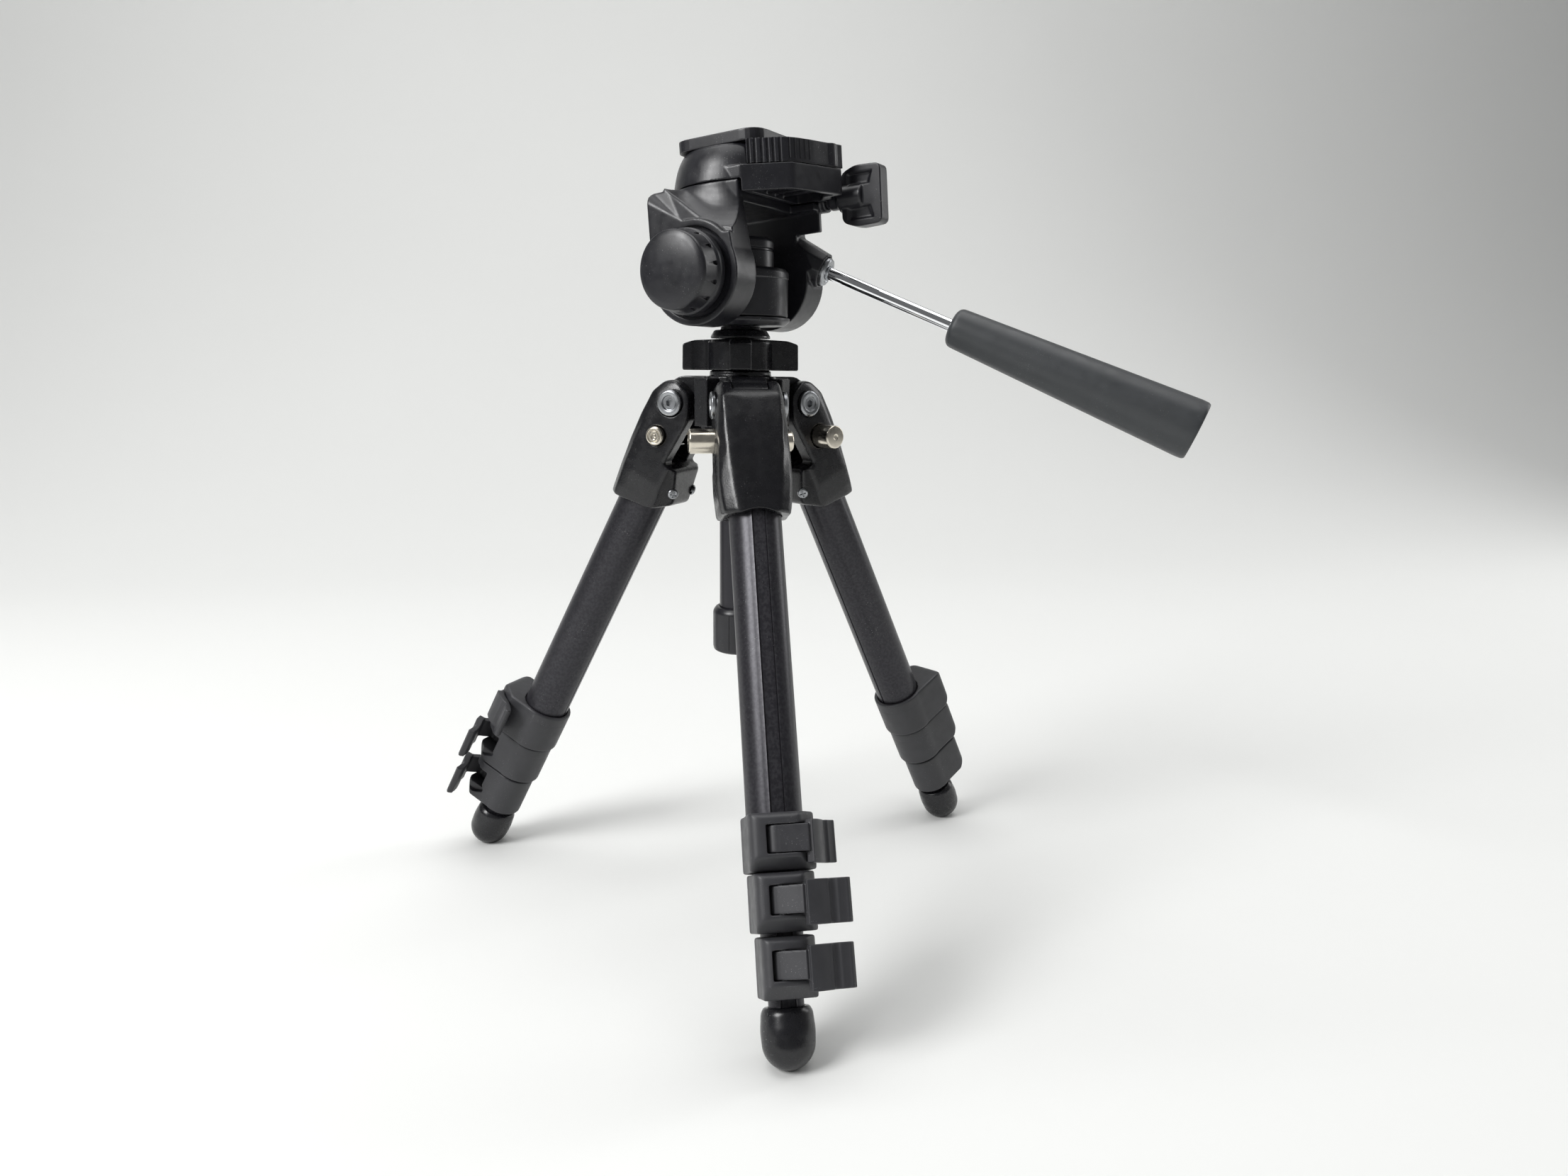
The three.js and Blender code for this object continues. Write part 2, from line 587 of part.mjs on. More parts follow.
piece(tilt, 'handle_bushing', solid(alongHandle(turned(
  [[3.3, BUSH_START], [6.7, BUSH_START], [6.7, 31], [6.1, 31.5], [3.3, 31.5], [3.3, BUSH_START]],
  SMALL,
))), 'zinc');
piece(tilt, 'handle_rod', solid(alongHandle(turned(discProfile(3, 14, 104), SMALL))), 'chrome');
piece(tilt, 'handle_grip', solid(alongHandle(turned([
  [3.3, 96.5], [7.4, 96.5], [9, 98], [9.3, 101], [13.4, 212], [13.2, 215], [12.3, 216],
  [11.2, 215.4], [10.9, 212], [8.6, 152], [0, 150], [0, 104.4], [3.3, 104.4], [3.3, 96.5],
], ROUND))), 'gripRubber');

// ---------------------------------------------------------------- head: camera platform
const PLATFORM_FLOOR = SEAM + GAP;
const TRAY_BOTTOM = 28;
const TRAY_TOP = 39.2;
const DECK = 49.7;
const POCKET_FLOOR = 43;
const PLATE_BOTTOM = 50;
const PLATE_TOP = 55;

function ring(radius, x, y, z, count = FINE) {
  return Array.from({ length: count }, (_, i) => new THREE.Vector3(
    x + radius * Math.cos(2 * Math.PI * i / count),
    y + radius * Math.sin(2 * Math.PI * i / count),
    z,
  ));
}

// Release lever in plan, from its thumb end round the tray's corner to its tail.
const LEVER_PATH = [[-22.4, -19.8], [-18, -27], [-13.2, -33.8], [-4, -38], [6, -41], [17, -44.4]];
const LEVER_THICK = 5.2;
const LEVER_PIVOT = [11.5, -41.5];
const LEVER_TOP = 49.6;

function platform() {
  const skirt = loft([
    ring(29.3, -0.5, -1.5, PLATFORM_FLOOR), ring(28.6, -0.4, -1.6, 38), ring(24.5, 1, -2, DECK),
  ]);
  const plan = [
    [-27, -10], [-26.6, -18.6, 1], [-14.8, -37.7, 3], [15.2, -47.4, 2], [15.3, -41.2],
    [22, -37.5], [29, -31.5, 2], [34.4, -23, 3], [34.4, 12, 6], [24, 20], [0, 0],
  ];
  const tray = slabZ(plan, PLATFORM_FLOOR, TRAY_TOP);
  const rear = slabZ(plan, TRAY_BOTTOM, TRAY_TOP)
    .intersect(block([-60, -60, 0], [60, -17.8, 60]));
  const ear = join(
    rodY(HINGE_RADIUS, 17.4, 23, HINGE_X, HINGE_Z),
    block([HINGE_X - 4.6, 17.4, HINGE_Z], [HINGE_X + 4.6, 20, PLATFORM_FLOOR + 1]),
  );
  const pocket = block([-13.3, -19.3, POCKET_FLOOR], [19.3, 13.3, 60]);
  return join(cut(
    join(skirt, tray, rear),
    pocket,
    slabZ(strip(LEVER_PATH, LEVER_THICK + 2, 12), TRAY_TOP, 60),
    rodY(HINGE_RADIUS + GAP, -33.4, -17, HINGE_X, HINGE_Z),
    rodY(3.3, -60, -17, HINGE_X, HINGE_Z, SMALL),
    rodY(7, -60, -34.4, HINGE_X, HINGE_Z, ROUND),
    block([HINGE_X - 4.87, -33.4, 0], [HINGE_X + 4.87, -17, HINGE_Z]),
  ), ear, rodY(2.5, 8, 18, HINGE_X, HINGE_Z, SMALL));
}
piece(tilt, 'camera_platform', platform(), 'blackPlastic');

function releasePlate() {
  const lip = slabZ([
    [-21, -25, 9], [25, -25, 9], [25, 19, 9], [-21, 19, 9],
  ], PLATE_BOTTOM, PLATE_TOP);
  const dovetail = block([-13, -19, POCKET_FLOOR + 0.4], [19, 13, PLATE_BOTTOM + 1]);
  const guide = rodZ(1.6, PLATE_TOP - 1, 57.6, 3, 8, 8);
  return cut(
    join(lip, dovetail, guide),
    rodZ(3.5, 40, 60, 3, -3, SMALL),
    rodZ(7.6, 40, 47, 3, -3, SMALL),
  );
}
piece(tilt, 'quick_release_plate', releasePlate(), 'blackPlastic');
piece(tilt, 'camera_screw', solid(turned([
  [0, 43.8], [7, 43.8], [7, 46.4], [3.17, 46.4], [3.17, 58.6], [2.6, 59.4], [0, 59.4],
], SMALL).translate(3, -3, 0)), 'zinc');

function releaseLever() {
  const bottom = TRAY_TOP + GAP;
  const arm = slabZ(strip(LEVER_PATH, LEVER_THICK, 12), bottom, LEVER_TOP);
  return join(arm, rodZ(4.6, bottom, LEVER_TOP, ...LEVER_PIVOT, SMALL));
}
piece(tilt, 'release_lever', releaseLever(), 'blackPlastic');

function sideKnob() {
  const wing = slabX([
    [-41.5, 8, 2], [-41.5, -9, 2], [-44, -11.6, 2], [-48.7, -11.6], [-48.7, -14.5, 2],
    [-61.5, -13, 3], [-61.5, 13, 3], [-48.7, 14.2, 2], [-48.7, 11.6], [-44, 11.6, 2],
  ].map(([y, z, radius]) => [y, HINGE_Z + z, radius]), HINGE_X - 4, HINGE_X + 4);
  const stem = solid(alongY(turned([
    [0, -12], [3, -12], [3, -34.8], [4.4, -34.8], [4.4, -39], [6.2, -40], [6.2, -52], [0, -52],
  ], SMALL), HINGE_X, HINGE_Z));
  return join(wing, stem);
}
piece(tilt, 'side_tilt_knob', sideKnob(), 'blackPlastic');

// ---------------------------------------------------------------- origin
// The origin is the middle of the bounding box at floor level.
tripod.updateMatrixWorld(true);
const bounds = new THREE.Box3().setFromObject(tripod, true);
const middle = bounds.getCenter(new THREE.Vector3());
tripod.position.set(-middle.x, -middle.y, -bounds.min.z);

export default tripod;
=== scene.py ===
"""Looks of a compact table tripod with a three-way pan head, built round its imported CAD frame.

Shapes are drawn in millimetres, in the frame of the part that they belong to: a leg (origin on its
pivot, +x outward, +z up the leg), the column (origin on the floor), the head, the tilting yoke or
the pan handle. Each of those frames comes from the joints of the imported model.
"""
import json
from math import asin, cos, pi, radians, sin

import bmesh
import bpy
from mathutils import Matrix, Vector


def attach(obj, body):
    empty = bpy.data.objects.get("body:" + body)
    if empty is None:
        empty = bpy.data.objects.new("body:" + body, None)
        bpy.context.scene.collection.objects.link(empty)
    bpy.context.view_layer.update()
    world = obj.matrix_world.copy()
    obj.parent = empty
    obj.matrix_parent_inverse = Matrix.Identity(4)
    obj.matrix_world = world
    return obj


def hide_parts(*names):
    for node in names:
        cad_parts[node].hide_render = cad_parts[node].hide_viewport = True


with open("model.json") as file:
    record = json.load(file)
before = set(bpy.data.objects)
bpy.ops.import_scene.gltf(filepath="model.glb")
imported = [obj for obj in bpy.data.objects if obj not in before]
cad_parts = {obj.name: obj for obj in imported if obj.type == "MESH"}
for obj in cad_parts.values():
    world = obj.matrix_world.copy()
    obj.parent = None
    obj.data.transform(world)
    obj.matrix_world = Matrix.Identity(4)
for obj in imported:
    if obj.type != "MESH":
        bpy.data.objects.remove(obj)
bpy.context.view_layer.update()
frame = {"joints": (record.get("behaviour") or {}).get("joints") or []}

MM = 0.001
SIDES = ("front", "left", "right")


# ---------------------------------------------------------------- solids, in millimetres
def solid(points, faces):
    """A closed mesh with its faces pointing out."""
    bm = bmesh.new()
    corners = [bm.verts.new(p) for p in points]
    for face in faces:
        bm.faces.new([corners[i] for i in face])
    bmesh.ops.remove_doubles(bm, verts=bm.verts, dist=1e-4)
    bmesh.ops.recalc_face_normals(bm, faces=bm.faces)
    if bm.calc_volume(signed=True) < 0:
        bmesh.ops.reverse_faces(bm, faces=bm.faces)
    mesh = bpy.data.meshes.new("solid")
    bm.to_mesh(mesh)
    bm.free()
    return mesh


def rounded(points, closed=True, steps=6):
    """Points of an outline whose (x, y, radius) corners are rounded."""
    found = []
    for i, (x, y, *radius) in enumerate(points):
        corner = Vector((x, y))
        if not radius or (not closed and i in (0, len(points) - 1)):
            found.append((x, y))
            continue
        back = Vector(points[i - 1][:2]) - corner
        ahead = Vector(points[(i + 1) % len(points)][:2]) - corner
        reach = min(radius[0], back.length / 2.05, ahead.length / 2.05)
        start, end = corner + back.normalized() * reach, corner + ahead.normalized() * reach
        for k in range(steps + 1):
            t = k / steps
            found.append(tuple((1 - t) ** 2 * start + 2 * t * (1 - t) * corner + t * t * end))
    return found


def lathe(points, count=72):
    """A body of revolution about Z from (radius, z) points, closed on the axis or on itself."""
    looped = points[0] == points[-1]
    rows = rounded(points[:-1]) if looped else rounded(points, closed=False)
    corners, rings, faces = [], [], []
    for radius, z in rows:
        size = 1 if radius == 0 else count
        rings.append((len(corners), size))
        corners += [
            (radius * cos(2 * pi * i / count), radius * sin(2 * pi * i / count), z)
            for i in range(size)
        ]
    for (a, n), (b, m) in zip(rings, rings[1:] + (rings[:1] if looped else [])):
        for i in range(count):
            quad = [a + i % n, a + (i + 1) % n, b + (i + 1) % m, b + i % m]
            face = list(dict.fromkeys(quad))
            if len(face) > 2:
                faces.append(face)
    return solid(corners, faces)


def loft(rings):
    """A body through matching rings of points, closed by flat ends."""
    count = len(rings[0])
    faces = [list(range(count)), [(len(rings) - 1) * count + i for i in range(count)]]
    for r in range(len(rings) - 1):
        for i in range(count):
            j = (i + 1) % count
            faces.append([r * count + i, r * count + j, (r + 1) * count + j, (r + 1) * count + i])
    return solid([p for ring in rings for p in ring], faces)


AXES = {"x": lambda a, b, c: (c, a, b), "y": lambda a, b, c: (a, c, b), "z": lambda a, b, c: (a, b, c)}


def slab(points, low, high, axis="z"):
    """A flat outline given depth: across Z from (x, y), across Y from (x, z), across X from (y, z)."""
    edge = rounded(points)
    return loft([[AXES[axis](a, b, c) for a, b in edge] for c in (low, high)])


def block(low, high):
    (x0, y0, z0), (x1, y1, z1) = low, high
    return slab([(x0, y0), (x1, y0), (x1, y1), (x0, y1)], z0, z1)


def rod(radius, low, high, u=0, v=0, axis="z", count=48):
    """A round bar along an axis, at (u, v) in the other two."""
    ring = [(u + radius * cos(2 * pi * i / count), v + radius * sin(2 * pi * i / count))
            for i in range(count)]
    return loft([[AXES[axis](a, b, c) for a, b in ring] for c in (low, high)])


def smooth_path(points, steps):
    """Points and directions along a Catmull-Rom curve through the points."""
    ends = [points[0], *points, points[-1]]
    found = []
    for i in range(steps + 1):
        s = i / steps * (len(points) - 1)
        k = min(int(s), len(points) - 2)
        t = s - k
        p0, p1, p2, p3 = (Vector(p) for p in ends[k:k + 4])
        at = 0.5 * (2 * p1 + (p2 - p0) * t + (2 * p0 - 5 * p1 + 4 * p2 - p3) * t ** 2
                    + (3 * p1 - p0 - 3 * p2 + p3) * t ** 3)
        go = 0.5 * (p2 - p0 + 2 * (2 * p0 - 5 * p1 + 4 * p2 - p3) * t
                    + 3 * (3 * p1 - p0 - 3 * p2 + p3) * t ** 2)
        found.append((at, go.normalized()))
    return found


def strip(points, thickness, steps=28):
    """Outline of a strip along a smooth path. thickness is one number, or one for each end."""
    first, last = thickness if isinstance(thickness, tuple) else (thickness, thickness)
    near, far = [], []
    for i, (at, go) in enumerate(smooth_path(points, steps)):
        half = (first + (last - first) * i / steps) / 2
        aside = Vector((-go.y, go.x)) * half
        near.append(tuple(at + aside))
        far.append(tuple(at - aside))
    return near + far[::-1]


def moved(mesh, matrix):
    copy = mesh.copy()
    copy.transform(matrix)
    return copy


def turned(mesh, degrees, axis="Z"):
    return moved(mesh, Matrix.Rotation(radians(degrees), 4, axis))


def worked(mesh, *steps):
    """A new mesh: this one with the modifiers that the steps add."""
    holder = bpy.data.objects.new("holder", mesh)
    bpy.context.scene.collection.objects.link(holder)
    for step in steps:
        step(holder)
    graph = bpy.context.evaluated_depsgraph_get()
    result = bpy.data.meshes.new_from_object(holder.evaluated_get(graph))
    bpy.data.objects.remove(holder)
    return result


def boolean(operation, base, tools):
    helpers = [bpy.data.objects.new("tool", tool) for tool in tools]
    for helper in helpers:
        bpy.context.scene.collection.objects.link(helper)

    def add(holder):
        for helper in helpers:
            modifier = holder.modifiers.new("boolean", "BOOLEAN")
            modifier.operation = operation
            modifier.solver = "MANIFOLD"
            modifier.object = helper
    result = worked(base, add)
    for helper in helpers:
        bpy.data.objects.remove(helper)
    return result


def join(base, *tools):
    return boolean("UNION", base, tools)


def cut(base, *tools):
    return boolean("DIFFERENCE", base, tools)


def common(base, *tools):
    return boolean("INTERSECT", base, tools)


def moulded(mesh, voxel=0.35, passes=6, keep=0.5):
    """The same body with every edge softly rounded, as a moulding or a casting has."""
    def remesh(holder):
        modifier = holder.modifiers.new("remesh", "REMESH")
        modifier.mode = "VOXEL"
        modifier.voxel_size = voxel

    def smooth(holder):
        modifier = holder.modifiers.new("smooth", "SMOOTH")
        modifier.factor = 0.5
        modifier.iterations = passes

    def thin(holder):
        modifier = holder.modifiers.new("thin", "DECIMATE")
        modifier.ratio = keep
    return worked(mesh, remesh, smooth, thin)


def bevelled(mesh, width, segments=3):
    """The same body with its sharp edges rounded."""
    def bevel(holder):
        modifier = holder.modifiers.new("bevel", "BEVEL")
        modifier.width = width
        modifier.segments = segments
        modifier.limit_method = "ANGLE"
        modifier.angle_limit = radians(30)
        modifier.use_clamp_overlap = True
    return worked(mesh, bevel)


# ---------------------------------------------------------------- materials
class Nodes:
    """Short ways to wire a material's nodes."""

    def __init__(self, name):
        self.material = bpy.data.materials.new(name)
        self.material.use_nodes = True
        self.tree = self.material.node_tree
        self.shader = self.tree.nodes["Principled BSDF"]
        self.place = self.add("Attribute", attribute_name="drawn").outputs["Vector"]

    def add(self, kind, **settings):
        node = self.tree.nodes.new("ShaderNode" + kind)
        for name, value in settings.items():
            setattr(node, name, value)
        return node

    def link(self, source, target):
        self.tree.links.new(source, target)

    def noise(self, size, detail=2.0, stretch=(1, 1, 1)):
        """Noise whose marks are about size millimetres across, stretched along an axis."""
        mapping = self.add("Mapping")
        mapping.inputs["Scale"].default_value = [1 / size / s for s in stretch]
        node = self.add("TexNoise")
        node.inputs["Scale"].default_value = 1.0
        node.inputs["Detail"].default_value = detail
        self.link(self.place, mapping.inputs["Vector"])
        self.link(mapping.outputs[0], node.inputs["Vector"])
        return node.outputs["Fac"]

    def ramp(self, source, low, high, start, end):
        """source from low to high becomes start to end."""
        node = self.add("MapRange")
        for name, value in zip(("From Min", "From Max", "To Min", "To Max"), (low, high, start, end)):
            node.inputs[name].default_value = value
        self.link(source, node.inputs["Value"])
        return node.outputs["Result"]

    def times(self, a, b):
        node = self.add("Math", operation="MULTIPLY")
        self.link(a, node.inputs[0])
        self.link(b, node.inputs[1])
        return node.outputs[0]

    def blend(self, share, first, second):
        """Mixes two colours, each a colour or another blend's result."""
        node = self.add("Mix", data_type="RGBA")
        self.link(share, node.inputs["Factor"])
        for socket, value in ((node.inputs[6], first), (node.inputs[7], second)):
            if isinstance(value, tuple):
                socket.default_value = (*value, 1)
            else:
                self.link(value, socket)
        return node.outputs[2]


def finish(name, colour, roughness, metallic=0.0, grain=0.5, relief=0.01, mottle=0.2, spread=0.06,
           wear=0.35, dust=0.5, streak=(1, 1, 1)):
    """A material. grain and relief are the texture's size and height in millimetres, mottle is how
    far the colour wanders, spread the same for roughness, and wear and dust are shares."""
    n = Nodes(name)
    n.shader.inputs["Metallic"].default_value = metallic
    shade = n.ramp(n.noise(9, 4, streak), 0.3, 0.7, 0, 1)
    darker, lighter = (tuple(c * share for c in colour) for share in (1 - mottle, 1 + mottle))
    body = n.blend(shade, darker, lighter)
    edges = n.ramp(n.add("NewGeometry").outputs["Pointiness"], 0.53, 0.62, 0, wear)
    broken = n.times(edges, n.ramp(n.noise(1.3, 3), 0.4, 0.6, 0.2, 1))
    body = n.blend(broken, body, tuple(min(1, c * 1.6 + 0.04) for c in colour))
    specks = n.times(
        n.ramp(n.noise(0.45, 1), 0.70, 0.76, 0, dust),
        n.ramp(n.noise(16, 2), 0.48, 0.66, 0, 1),
    )
    body = n.blend(specks, body, (0.42, 0.42, 0.42))
    n.link(body, n.shader.inputs["Base Color"])
    n.link(
        n.ramp(n.noise(4, 5, streak), 0.3, 0.7, roughness - spread, roughness + spread),
        n.shader.inputs["Roughness"],
    )
    bump = n.add("Bump")
    bump.inputs["Distance"].default_value = relief * MM
    n.link(n.noise(grain, 2, streak), bump.inputs["Height"])
    n.link(bump.outputs[0], n.shader.inputs["Normal"])
    return n.material


FINISHES = {
    "gloss_casting": finish("gloss_casting", (0.006, 0.006, 0.0075), 0.27, grain=0.6, relief=0.04,
                            spread=0.05),
    "anodised_tube": finish("anodised_tube", (0.022, 0.021, 0.026), 0.33, metallic=0.45, grain=0.3,
                            relief=0.002, mottle=0.06, spread=0.02, streak=(1, 1, 14), wear=0.5),
    "grey_plastic": finish("grey_plastic", (0.034, 0.034, 0.038), 0.46, grain=0.4, relief=0.014,
                           mottle=0.1),
    "black_plastic": finish("black_plastic", (0.011, 0.011, 0.014), 0.34, grain=0.35, relief=0.014),
    "foot_rubber": finish("foot_rubber", (0.009, 0.009, 0.011), 0.28, grain=1.4, relief=0.01, dust=0.8),
    "grip_rubber": finish("grip_rubber", (0.034, 0.037, 0.040), 0.44, grain=0.5, relief=0.010,
                          mottle=0.08, dust=0.3),
    "nickel": finish("nickel", (0.70, 0.65, 0.56), 0.2, metallic=1, grain=0.5, relief=0.002, mottle=0.05,
                     wear=0, dust=0),
    "zinc": finish("zinc", (0.36, 0.37, 0.385), 0.30, metallic=1, grain=0.4, relief=0.004, mottle=0.12,
                   wear=0, dust=0),
    "chrome": finish("chrome", (0.80, 0.81, 0.83), 0.06, metallic=1, grain=30, relief=0.0005, mottle=0.03,
                     spread=0.02, wear=0, dust=0),
}


# ---------------------------------------------------------------- placing pieces
def keep_drawn(mesh):
    """Keeps where each corner is drawn, in millimetres, for the materials' textures."""
    flat = [0.0] * 3 * len(mesh.vertices)
    mesh.vertices.foreach_get("co", flat)
    drawn = mesh.attributes.new("drawn", "FLOAT_VECTOR", "POINT")
    drawn.data.foreach_set("vector", flat)


def place(name, mesh, where, body, slot, nodes=(), sharp=None):
    """A piece from a mesh in millimetres, in the frame where, riding on a body."""
    mesh = mesh.copy()
    mesh.name = name
    keep_drawn(mesh)
    mesh.transform(where @ Matrix.Scale(MM, 4))
    mesh.materials.clear()
    mesh.materials.append(FINISHES[slot])
    mesh.polygons.foreach_set("use_smooth", [True] * len(mesh.polygons))
    if sharp:
        mesh.set_sharp_from_angle(angle=radians(sharp))
    piece = bpy.data.objects.new(name, mesh)
    bpy.context.scene.collection.objects.link(piece)
    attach(piece, body)
    if nodes:
        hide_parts(*nodes)
    return piece


def axes(origin, y, z):
    """A frame at origin with those directions for its y and z."""
    z = Vector(z).normalized()
    x = Vector(y).cross(z).normalized()
    y = z.cross(x)
    return Matrix.Translation(origin) @ Matrix((x, y, z)).transposed().to_4x4()


joints = {joint["name"]: joint for joint in frame["joints"]}


def axis_of(name):
    return Vector(joints[name]["axis"])


def place_of(name):
    return Vector(joints[name]["pos_m"])


UP = Vector((0, 0, 1))
pan_at = place_of("pan")
column_frame = Matrix.Translation((pan_at.x, pan_at.y, 0))
head_frame = axes((pan_at.x, pan_at.y, 0), UP.cross(axis_of("tilt")), UP)
AXLE_DROP = 5  # millimetres from the tilt frame's origin down to the axle
tilt_frame = axes(
    place_of("tilt") + UP * AXLE_DROP * MM,
    axis_of("side_tilt"),
    axis_of("release_lever_turn"),
)
HANDLE_JOINT = 60  # millimetres down the rod from the handle's root to its joint
handle_axis = axis_of("handle_twist")
GRIP_PANEL_TURN = 18  # degrees that the grip's side panels sit below level
handle_frame = axes(
    place_of("handle_twist") - handle_axis * HANDLE_JOINT * MM,
    handle_axis.cross(-axis_of("tilt")),
    handle_axis,
)
LEVER_JOINT_DROP = 10  # millimetres from a collar's top down to its lever joint


def leg_frame(side):
    down = axis_of(f"{side}_section_2_slide")
    return axes(place_of(f"{side}_leg_fold"), axis_of(f"{side}_leg_fold"), -down)


def lever_frame(side, number):
    """Frame of a flip lever on its pivot, at its collar's top, turned as far open as it rests."""
    joint = joints[f"{side}_flip_lever_{number}_turn"]
    rest = leg_frame(side).to_3x3().to_4x4()
    up = rest.to_3x3() @ Vector((0, 0, 1))
    origin = Vector(joint["pos_m"]) + up * LEVER_JOINT_DROP * MM
    return Matrix.Translation(origin) @ rest @ Matrix.Rotation(radians(joint["range_deg"][0]), 4, "Z")


# ---------------------------------------------------------------- camera, light and stage
CAMERA_FROM_AXIS = Vector((-67.05, -526.0, 261.11)) * MM
CAMERA_YAW = 9.6  # degrees right of +Y
CAMERA_PITCH = 11.16  # degrees down
CAMERA_ROLL = 0.61
LENS = 25.37
SENSOR = 36


def make_camera():
    data = bpy.data.cameras.new("camera")
    data.lens, data.sensor_width = LENS, SENSOR
    data.clip_start, data.clip_end = 0.01, 50
    camera = bpy.data.objects.new("camera", data)
    bpy.context.scene.collection.objects.link(camera)
    turn = (Matrix.Rotation(radians(-CAMERA_YAW), 4, "Z")
            @ Matrix.Rotation(radians(90 - CAMERA_PITCH), 4, "X")
            @ Matrix.Rotation(radians(CAMERA_ROLL), 4, "Z"))
    camera.matrix_world = Matrix.Translation(column_frame.translation + CAMERA_FROM_AXIS) @ turn
    bpy.context.scene.camera = camera


def make_stage():
    """A pale sweep: a floor that curves up into a wall behind the tripod."""
    wall, bend, reach, height = 2.4, 1.5, 4.0, 3.5
    profile = [(-reach, 0), (wall - bend, 0)]
    profile += [(wall - bend + bend * sin(a), bend - bend * cos(a))
                for a in (radians(90) * i / 24 for i in range(1, 25))]
    profile.append((wall, height))
    points = [(x, y, z) for y, z in profile for x in (-reach, reach)]
    faces = [(2 * i, 2 * i + 1, 2 * i + 3, 2 * i + 2) for i in range(len(profile) - 1)]
    mesh = bpy.data.meshes.new("sweep")
    mesh.from_pydata(points, [], faces)
    mesh.polygons.foreach_set("use_smooth", [True] * len(mesh.polygons))
    n = Nodes("paper")
    n.link(
        n.blend(n.noise(0.6, 3), (0.80, 0.805, 0.79), (0.83, 0.835, 0.82)),
        n.shader.inputs["Base Color"],
    )
    n.shader.inputs["Roughness"].default_value = 0.85
    keep_drawn(mesh)
    mesh.materials.append(n.material)
    sweep = bpy.data.objects.new("sweep", mesh)
    bpy.context.scene.collection.objects.link(sweep)


def area_light(name, at, target, size, power):
    data = bpy.data.lights.new(name, "AREA")
    data.shape = "RECTANGLE"
    data.size, data.size_y = size
    data.energy = power
    light = bpy.data.objects.new(name, data)
    light.location = at
    light.rotation_mode = "QUATERNION"
    light.rotation_quaternion = (Vector(target) - Vector(at)).to_track_quat("-Z", "Y")
    bpy.context.scene.collection.objects.link(light)


def make_lights():
    world = bpy.data.worlds.new("world")
    bpy.context.scene.world = world
    world.use_nodes = True
    world.node_tree.nodes["Background"].inputs["Color"].default_value = (0.98, 0.99, 1.0, 1)
    world.node_tree.nodes["Background"].inputs["Strength"].default_value = 0.16
    area_light("key", (-1.5, -0.75, 1.35), (0, 0, 0.2), (0.8, 1.0), 34)
    area_light("top", (0.0, 0.1, 2.2), (0, 0.1, 0), (2.2, 1.6), 26)
    area_light("wall", (0.0, 0.9, 2.4), (0, 2.4, 0.9), (3.4, 0.8), 12)
    area_light("rim", (1.7, 0.5, 0.9), (0, 0, 0.2), (0.4, 1.4), 7)
    bpy.context.scene.view_settings.view_transform = "Standard"


# ---------------------------------------------------------------- legs
TUBE_X = -2.1  # tube axis inward of the pivot
TUBE_RADII = (11.5, 10, 8.5, 7)
TUBE_WALL = 0.8
CHANNEL_HALF = 3
SECTION_TOPS = (29, 33, 37, 41)
SECTION_ENDS = (200.6, 223.2, 247.2, 268)
HALF_GAP = 8.3
PIN_X, PIN_Z = -1, -17
FOOT_RADIUS = 10.4
FOOT_CENTRE = 265.6
FOOT_TOP = 252.8
GAP = 0.3
# collar: top, end, half width, outer face, ring radius
COLLARS = (
    (181, 203, 13.5, 22, 13.8),
    (203.5, 225.6, 12.2, 21, 12.5),
    (227, 249.6, 10.7, 18.5, 10.9),
)
LEVER_BACK, LEVER_Y = 4.6, -2.6
SLOT_TOP, SLOT_HEIGHT = 4.7, 11
TAB_TOP, TAB_BOTTOM = -3.4, -19.9  # of a flip lever's tab, from its collar's top


